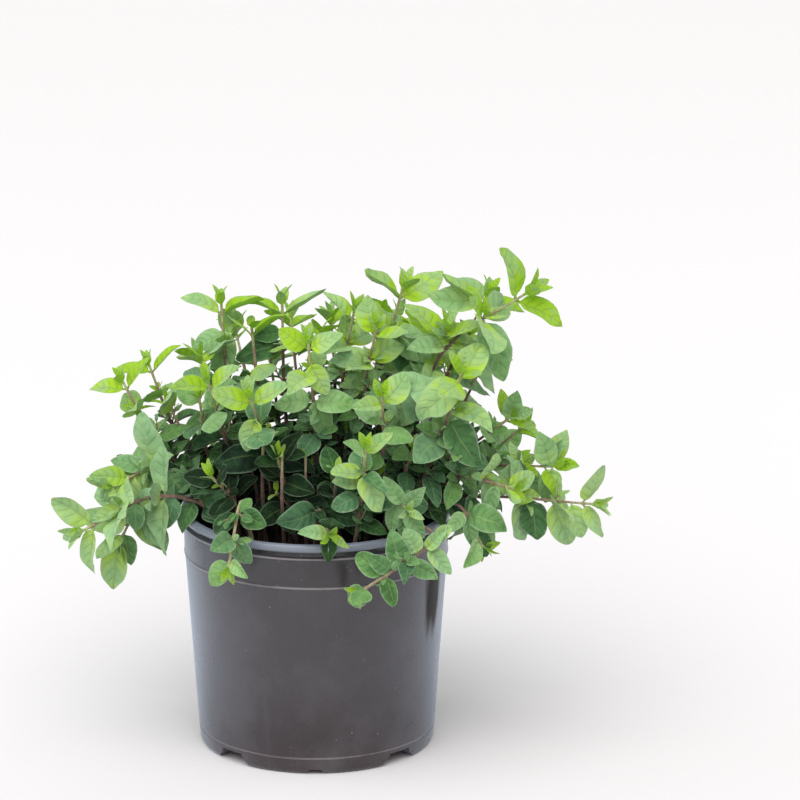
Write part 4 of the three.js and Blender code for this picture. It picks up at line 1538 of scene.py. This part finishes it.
def grow_side_shoot(skeleton, name, base, axes_here, outward, reach, pairs, leaf, level):
    """A short shoot in the axil of a leaf: a curved stem with small pairs up to its tip."""
    stem = axes_here[0]
    direction = unit(stem * SHOOT_ALONG + outward * SHOOT_OUTWARD + UP * SHOOT_UPWARD)
    bend = unit(direction + UP * SHOOT_BEND)
    knots = [base, base + direction * reach * 0.5, base + (direction + bend) * reach * 0.5]
    skeleton.add_chain(knots, SHOOT_HALF_SIDES, SHOOT_YOUTH)
    side = unit(across_of(np.cross(UP, direction), bend))
    frame_here = (bend, side, np.cross(side, bend))
    turn = rng.uniform(0, 180)
    for pair in range(pairs):
        spot = knots[0] + (knots[2] - knots[0]) * (1 - pair / pairs)
        row = min(pair, len(SHOOT_SHARES) - 1)
        for half in (0, 180):
            kind = any_form() if pair else -1
            length = leaf * SHOOT_SHARES[row] * rng.uniform(*SIZE_SPREAD)
            try_leaf(skeleton, name, max(1, level - 1), spot, frame_here, turn + half + 90 * pair,
                     SHOOT_LEANS[row], SHOOT_DROOP * pair, length, kind)


def pair_shares(line, leaf, levels):
    """Where the pairs stand on a stem, as shares of its length from the foot."""
    spacing = leaf / REFERENCE_LEAF
    return [max(0, 1 - PAIRS[level][0] * spacing / line.length) for level in range(levels)]


def lowest_level(line, leaf):
    """How many pairs fit on a stem before it dips below the rim."""
    for level, u in enumerate(pair_shares(line, leaf, len(PAIRS))):
        if u < LOWEST_PAIR_SHARE or line.point(u)[2] < LOWEST_PAIR:
            return level
    return len(PAIRS)


# %% [markdown]
# ## The main leaves
# First come the leaves that the solids hold, each on its own place. Then some stems get large
# single leaves, because a rule never gives the few big leaves that make a plant look like this
# one. They are placed one by one, each as a vector from its stem to its tip.

# %% The leaves that the solids hold
BUD_PULL = 0.9
lines = {name: StemLine(foot, via, tip) for name, foot, via, tip, *_ in SPRIGS}
skeletons = {name: Skeleton() for name in lines}


def light_axes(root, along, up, pull):
    """Axes of a blade that keeps its direction but turns its face to the light."""
    return axes_of(along, facing_light(root, along, up, pull))


for blade in solid_blades:
    name, level, kind, axes, length = [blade[key] for key in ("sprig", "level", "kind", "axes", "length")]
    root = lines[name].point(blade["u"]) + axes[3] * ROOT_OFFSET
    if level == 0:
        axes = light_axes(root, axes[1], axes[2], BUD_PULL)
    room.add(room.marks_of(root, axes, length, form_of(kind)))
    fresh, blue = leaf_colour(name, level, root)
    skeletons[name].add_leaf(root, axes, length, leaf_kind(kind, length), fresh, blue)
room.settle()
print("leaves on the places of the solids:", sum(len(s.places) for s in skeletons.values()))

# %% Large single leaves
# Stem, distance from its tip, the way from the leaf's root to its tip, the way its face looks,
# its form, its freshness with the painted light and shade of its place, and its coolness.
LARGE_LEAVES = [
    ("left_low", 22, (-26, -6, -13), (-0.15, -0.9, 0.4), 5, 0.86, 0.8),
    ("left_low", 14, (-14, -5, -21), (-0.2, -0.95, 0.15), 2, 0.82, 0.9),
    ("left_low", 9, (-17, -3, 4), (-0.1, -0.8, 0.6), 0, 0.93, 0.3),
    ("left_low", 18, (-16, 3, 6), (0, -0.6, 0.8), 3, 0.55, 0.5),
    ("left_low", 30, (11, -5, -13), (0.1, -0.95, 0.3), 5, 0.5, 0.6),
    ("left_hang", 10, (-24, -4, 7), (0, -0.85, 0.5), 1, 0.86, 0.8),
    ("left_hang", 2, (-6, -3, -27), (-0.2, -1, 0.05), 4, 0.86, 0.6),
    ("left_hang", 6, (3, -1, -17), (0.1, -1, 0.1), 0, 0.48, 0.3),
    ("left_hang", 14, (20, -6, -12), (0.1, -0.9, 0.4), 1, 0.8, 0.5),
    ("left_trailing", 30, (-2, -3, -15), (0.2, -1, 0), 3, 0.45, 0.6),
    ("left_trailing", 60, (-6, -5, -14), (-0.3, -0.9, 0.1), 0, 0.32, 0.3),
    ("left_trailing", 50, (-5, -6, -13), (0, -0.95, 0.2), 2, 0.4, 1.0),
    ("right_high", 4, (7, -2, 14), (0.1, -1, 0.1), 0, 0.7, 0.3),
    ("right_up", 2, (-7, -2, 18), (0, -1, 0.2), 0, 0.74, 0.3),
    ("right_up", 1, (-2, -3, -18), (0, -0.9, 0.4), 0, 0.74, 0.2),
    ("right_up", 0, (11, -3, 2), (0.1, -0.8, 0.6), 0, 0.95, 0),
    ("right_far", 20, (9, -3, -22), (0.1, -1, 0), 1, 0.84, 0.7),
    ("right_far", 42, (15, -3, 2), (0, -0.8, 0.6), 3, 0.93, 0),
    ("right_far", 45, (9, -2, 19), (0, -0.95, 0.3), 0, 0.82, 0.7),
    ("right_far", 30, (1, -3, -22), (0, -1, 0.1), 5, 0.3, 0.4),
    ("right_far", 11, (5, -4, -18), (0.1, -1, 0.2), 1, 0.86, 0.9),
    ("right_up", 12, (4, -3, -15), (0, -1, 0.2), 4, 0.72, 0.7),
    ("right_up", 7, (9, -3, 12), (0.1, -1, 0.2), 4, 0.6, 0.5),
    ("right_high", 0, (10, -3, 3), (0.1, -0.9, 0.4), 0, 0.8, 0.4),
    ("right_droop", 10, (8, -2, -14), (0.1, -1, 0.1), 5, 0.25, 0.4),
    ("right_droop", 18, (4, -4, -15), (0.3, -1, 0), 4, 0.6, 0.6),
    ("plume_back", 2, (-15, 2, 11), (0, -0.95, 0.3), 5, 0.76, 1.0),
    ("plume_back", 1, (-27, -3, 0), (0, -0.8, 0.6), 1, 0.82, 0.2),
    ("plume", 26, (12, -4, -30), (0.3, -0.9, 0.2), 1, 0.6, 0.4),
    ("right_star", 4, (-20, -6, -18), (-0.1, -0.8, 0.6), 3, 0.84, 0.4),
    ("right_star", 30, (16, -4, -23), (0.1, -0.9, 0.4), 3, 0.35, 0.3),
    ("left_back", 12, (1, -4, -26), (-0.1, -0.95, 0.3), 1, 0.74, 0.3),
    ("left_back", 14, (-14, -4, -8), (-0.2, -0.9, 0.4), 2, 0.7, 0.5),
    ("back_left", 14, (-16, -3, -3), (0, -0.8, 0.6), 0, 0.35, 0.3),
    ("back_left", 20, (-22, -5, -4), (0, -0.7, 0.7), 3, 0.3, 0.3),
    ("top_bend", 16, (-19, -4, -2), (0, -0.7, 0.7), 0, 0.78, 1.0),
    ("top_right", 22, (22, -6, -13), (0.1, -0.8, 0.6), 3, 0.72, 0.3),
    ("top_right", 24, (15, -6, -22), (0.2, -0.9, 0.3), 1, 0.45, 0.5),
    ("centre_front", 12, (8, -4, -15), (0.1, -0.9, 0.4), 0, 0.88, 0.3),
    ("centre_front", 32, (8, -3, -18), (0.1, -0.9, 0.4), 3, 0.66, 0.3),
    ("right_inner", 38, (-19, -8, -12), (0, -0.8, 0.6), 0, 0.78, 0.4),
    ("mid_left", 14, (-7, -4, -17), (0, -0.9, 0.4), 3, 0.78, 0.3),
    ("front_right", 6, (-8, -3, 14), (0, -1, 0.2), 4, 0.66, 0.5),
    ("front_right", 3, (7, -4, -14), (0.2, -1, 0.1), 1, 0.62, 0.6),
    ("front_right", 14, (-3, -5, -16), (-0.1, -1, 0.2), 4, 0.68, 0.6),
    ("trail_right", 40, (11, -4, -12), (0.2, -0.9, 0.3), 1, 0.76, 0.8),
    ("trail_right", 45, (9, -3, 7), (0, -0.8, 0.6), 0, 0.86, 0.4),
    ("trail_right", 18, (-10, -3, 10), (0, -0.9, 0.4), 0, 0.42, 0.4),
    ("trail_right", 24, (-4, -3, 18), (0, -0.9, 0.4), 0, 0.45, 0.4),
    ("trail_right", 34, (-6, -3, 14), (0.1, -0.9, 0.4), 0, 0.72, 0.5),
    ("trail_right", 38, (10, -3, 10), (0.1, -0.9, 0.4), 4, 0.78, 0.4),
    ("trail_right", 28, (14, -5, -8), (0.1, -0.9, 0.3), 1, 0.55, 0.5),
    ("front_centre", 1, (-15, -3, 1), (0, -0.8, 0.6), 1, 0.8, 0.7),
    ("front_stem", 22, (-15, -3, 3), (0, -0.7, 0.7), 1, 0.8, 0.4),
    ("front_stem", 16, (-17, -3, 4), (0, -0.6, 0.8), 1, 0.86, 0.3),
    ("front_stem", 14, (9, -9, -16), (0.4, -0.9, 0.3), 5, 0.84, 0.5),
    ("trail_right", 30, (-8, -3, 9), (0, -0.9, 0.4), 0, 0.62, 0.5),
    ("right_low", 10, (-4, -3, -15), (0, -1, 0.1), 4, 0.64, 0.6),
    ("right_droop", 20, (-8, -5, -9), (0, -0.9, 0.4), 3, 0.7, 0.3),
]


def add_large_leaf(name, from_tip, reach, face, kind, fresh, blue):
    line = lines[name]
    root = line.point(1 - from_tip / line.length)
    reach = np.array(reach, float)
    along = unit(reach)
    axes = axes_of(along, unit(across_of(np.array(face, float), along)))
    length = np.linalg.norm(reach)
    room.add(room.marks_of(root, axes, length, form_of(kind)))
    skeletons[name].add_leaf(root, axes, length, leaf_kind(kind, length), fresh, blue)


for row in LARGE_LEAVES:
    add_large_leaf(*row)
room.settle()
print("large single leaves:", len(LARGE_LEAVES))

# %% [markdown]
# ## Buds, older leaves and side shoots
# Every stem ends in a tight bud, and in the axils of its leaves stand short side shoots. They
# make the plant bushy. A particle system could scatter small leaves, but the pairs would be
# lost, so each shoot is a small stem that repeats the rule of the large one.

# %% Buds and side shoots
INNER_LEAN = 20
INNER_SIZE = 0.42
INNER_PULL = 1.2
INNER_PLACE = 0.998
INNER_UPRIGHT = {"plume": 0, "droop_left": 0, "trail_right": 0, "left_trailing": 0, "right_far": 0}
USUAL_UPRIGHT = 0.8
AXIL_LEAN = 60
REACH_SPREAD = (0.7, 1.3)
REACH_PER_PAIR = 6
SHOOT_LEAF_SIZE = 0.33
SIZE_PER_LEVEL = 0.04
SHOOT_LEAF_SPREAD = (0.8, 1.25)


def add_inner_bud(skeleton, name, line, turn, leaf):
    """The innermost pair of the bud, a quarter turn from the pair around it."""
    end = line.point(1)
    for side in (0, 180):
        axes = leaf_axes(line.frame(1), end, turn + 90 + side, INNER_LEAN, 0, False)
        along = unit(axes[1] + INNER_UPRIGHT.get(name, USUAL_UPRIGHT) * UP)
        axes = light_axes(end, along, unit(across_of(axes[2], along)), INNER_PULL)
        fresh, _ = leaf_colour(name, 0, end)
        skeleton.add_leaf(line.point(INNER_PLACE), axes, leaf * INNER_SIZE, FIRST_BUD, fresh, 0)


def grow_axil(skeleton, name, base, axes_here, leaf_turn, leaf, level):
    """A side shoot where a leaf leaves its stem."""
    outward = leaf_axes(axes_here, base, leaf_turn, AXIL_LEAN, 0, False)[3]
    reach = SHOOT_REACHES[level] * rng.uniform(*REACH_SPREAD)
    length = leaf * SHOOT_LEAVES.get(name, 1.0) * (SHOOT_LEAF_SIZE + SIZE_PER_LEVEL * level)
    length *= rng.uniform(*SHOOT_LEAF_SPREAD)
    pairs = 2 + int(reach / REACH_PER_PAIR)
    grow_side_shoot(skeleton, name, base, axes_here, outward, reach, pairs, length, level)


def grow_rest_of_stem(name, turn, leaf, pairs):
    """Stem, bud, the older leaves below those of the solid, and the side shoots."""
    line, skeleton = lines[name], skeletons[name]
    levels = max(pairs, lowest_level(line, leaf))
    shares = pair_shares(line, leaf, levels)
    grow_main_stem(skeleton, name, line, shares)
    add_inner_bud(skeleton, name, line, turn, leaf)
    for level in range(1, levels):
        _, size, lean, droop = PAIRS[level]
        base, axes_here = line.point(shares[level]), line.frame(shares[level])
        for side in (0, 180):
            leaf_turn = turn + side + 90 * level + rng.uniform(-TURN_JITTER, TURN_JITTER)
            if level >= pairs:
                length = leaf * size * rng.uniform(*SIZE_SPREAD)
                leaf_lean = lean + rng.uniform(-LEAN_JITTER, LEAN_JITTER)
                try_leaf(skeleton, name, level, base, axes_here, leaf_turn, leaf_lean, droop, length,
                         any_form())
            if level > 1 and rng.uniform() < SHOOT_CHANCE:
                grow_axil(skeleton, name, base, axes_here, leaf_turn, leaf, level)
    room.settle()


for name, *_, turn, leaf, pairs in SPRIGS:
    grow_rest_of_stem(name, turn, leaf, pairs)
print("leaves and stem points after the side shoots:", sum(len(s.places) for s in skeletons.values()))

# %% Leafy stems
total = 0
for name, skeleton in skeletons.items():
    mesh = stem_garden.grow(f"leafy_stem_{name}", skeleton.mesh(f"skeleton_{name}"), STEM_VALUES)
    add_piece(f"leafy_stem_{name}", mesh, [f"sprig_{name}"])
    total += triangle_count(mesh)
print("leafy stems:", len(skeletons), "with", total, "triangles")

# %% [markdown]
# ## Young shoots between the stems
# From the same root stock come thin young shoots. Ten have grown up between the tall stems, and
# the short ones stay below them and fill the middle of the plant with small dark leaves. They
# could be part of the stems beside them, but no solid stands for them, so they are a piece of
# their own, grown by the same recipe.

# %% Young shoots
YOUNG_SHOOTS = 34
TALL_LEAVES = (19, 23)
SHORT_LEAVES = (14, 19)
GOLDEN_ANGLE = 137.5
SPREAD_FROM = 8
SPREAD = 36
# The short ones: how far they lean out, height of the via, shift and rise of the tip in mm.
SHORT_LEANS = (1.05, 1.3)
SHORT_HEIGHTS = (126, 136)
SHORT_SHIFTS = (-5, 5)
SHORT_RISES = (6, 30)
# Foot, via and tip of those that have grown up between the tall stems.
TALL_SHOOTS = [
    ((-16, 16), (-28, 24, 165), (-32, 30, 203)), ((-26, 12), (-48, 18, 160), (-57, 22, 190)),
    ((2, 18), (4, 28, 165), (2, 34, 200)), ((18, 26), (28, 38, 168), (33, 46, 206)),
    ((26, 14), (46, 24, 165), (56, 32, 198)), ((36, 10), (68, 20, 155), (82, 26, 184)),
    ((-34, 4), (-62, 6, 148), (-73, 8, 170)), ((8, 30), (12, 44, 160), (14, 54, 190)),
    ((-12, 30), (-20, 42, 158), (-24, 52, 184)), ((42, 8), (84, 16, 140), (103, 22, 154)),
]
young = Skeleton()


def grow_young_shoot(name, foot, via, tip, leaf):
    line = StemLine(foot, via, tip)
    shares = pair_shares(line, leaf, lowest_level(line, leaf))
    grow_main_stem(young, name, line, shares)
    turn = rng.uniform(0, 180)
    for level, share in enumerate(shares):
        _, size, lean, droop = PAIRS[level]
        for side in (0, 180):
            length = leaf * size * rng.uniform(*SIZE_SPREAD)
            try_leaf(young, name, level, line.point(share), line.frame(share),
                     turn + side + 90 * level, lean, droop, length, any_form() if level else -1)
    room.settle()


for foot, via, tip in TALL_SHOOTS:
    grow_young_shoot("tall", foot, via, tip, rng.uniform(*TALL_LEAVES))
for k in range(YOUNG_SHOOTS):
    angle = math.radians(GOLDEN_ANGLE * k)
    radius = SPREAD_FROM + SPREAD * math.sqrt((k + 0.5) / YOUNG_SHOOTS)
    foot = np.array((radius * math.cos(angle), radius * math.sin(angle)))
    lean = rng.uniform(*SHORT_LEANS)
    via = (*(foot * (1 + lean) / 2), rng.uniform(*SHORT_HEIGHTS))
    tip = (*(foot * lean + rng.uniform(*SHORT_SHIFTS, 2)), via[2] + rng.uniform(*SHORT_RISES))
    grow_young_shoot("short", tuple(foot), via, tip, rng.uniform(*SHORT_LEAVES))
young_mesh = stem_garden.grow("young_shoots", young.mesh("skeleton_young"), STEM_VALUES)
add_piece("young_shoots", young_mesh)
print("young shoots:", triangle_count(young_mesh), "triangles")

# %% [markdown]
# ## Clearing up
# The leaves in the box were only patterns, so they go.

# %% Clear up
for pattern in list(leaves.objects):
    bpy.data.objects.remove(pattern)
bpy.data.collections.remove(leaves)
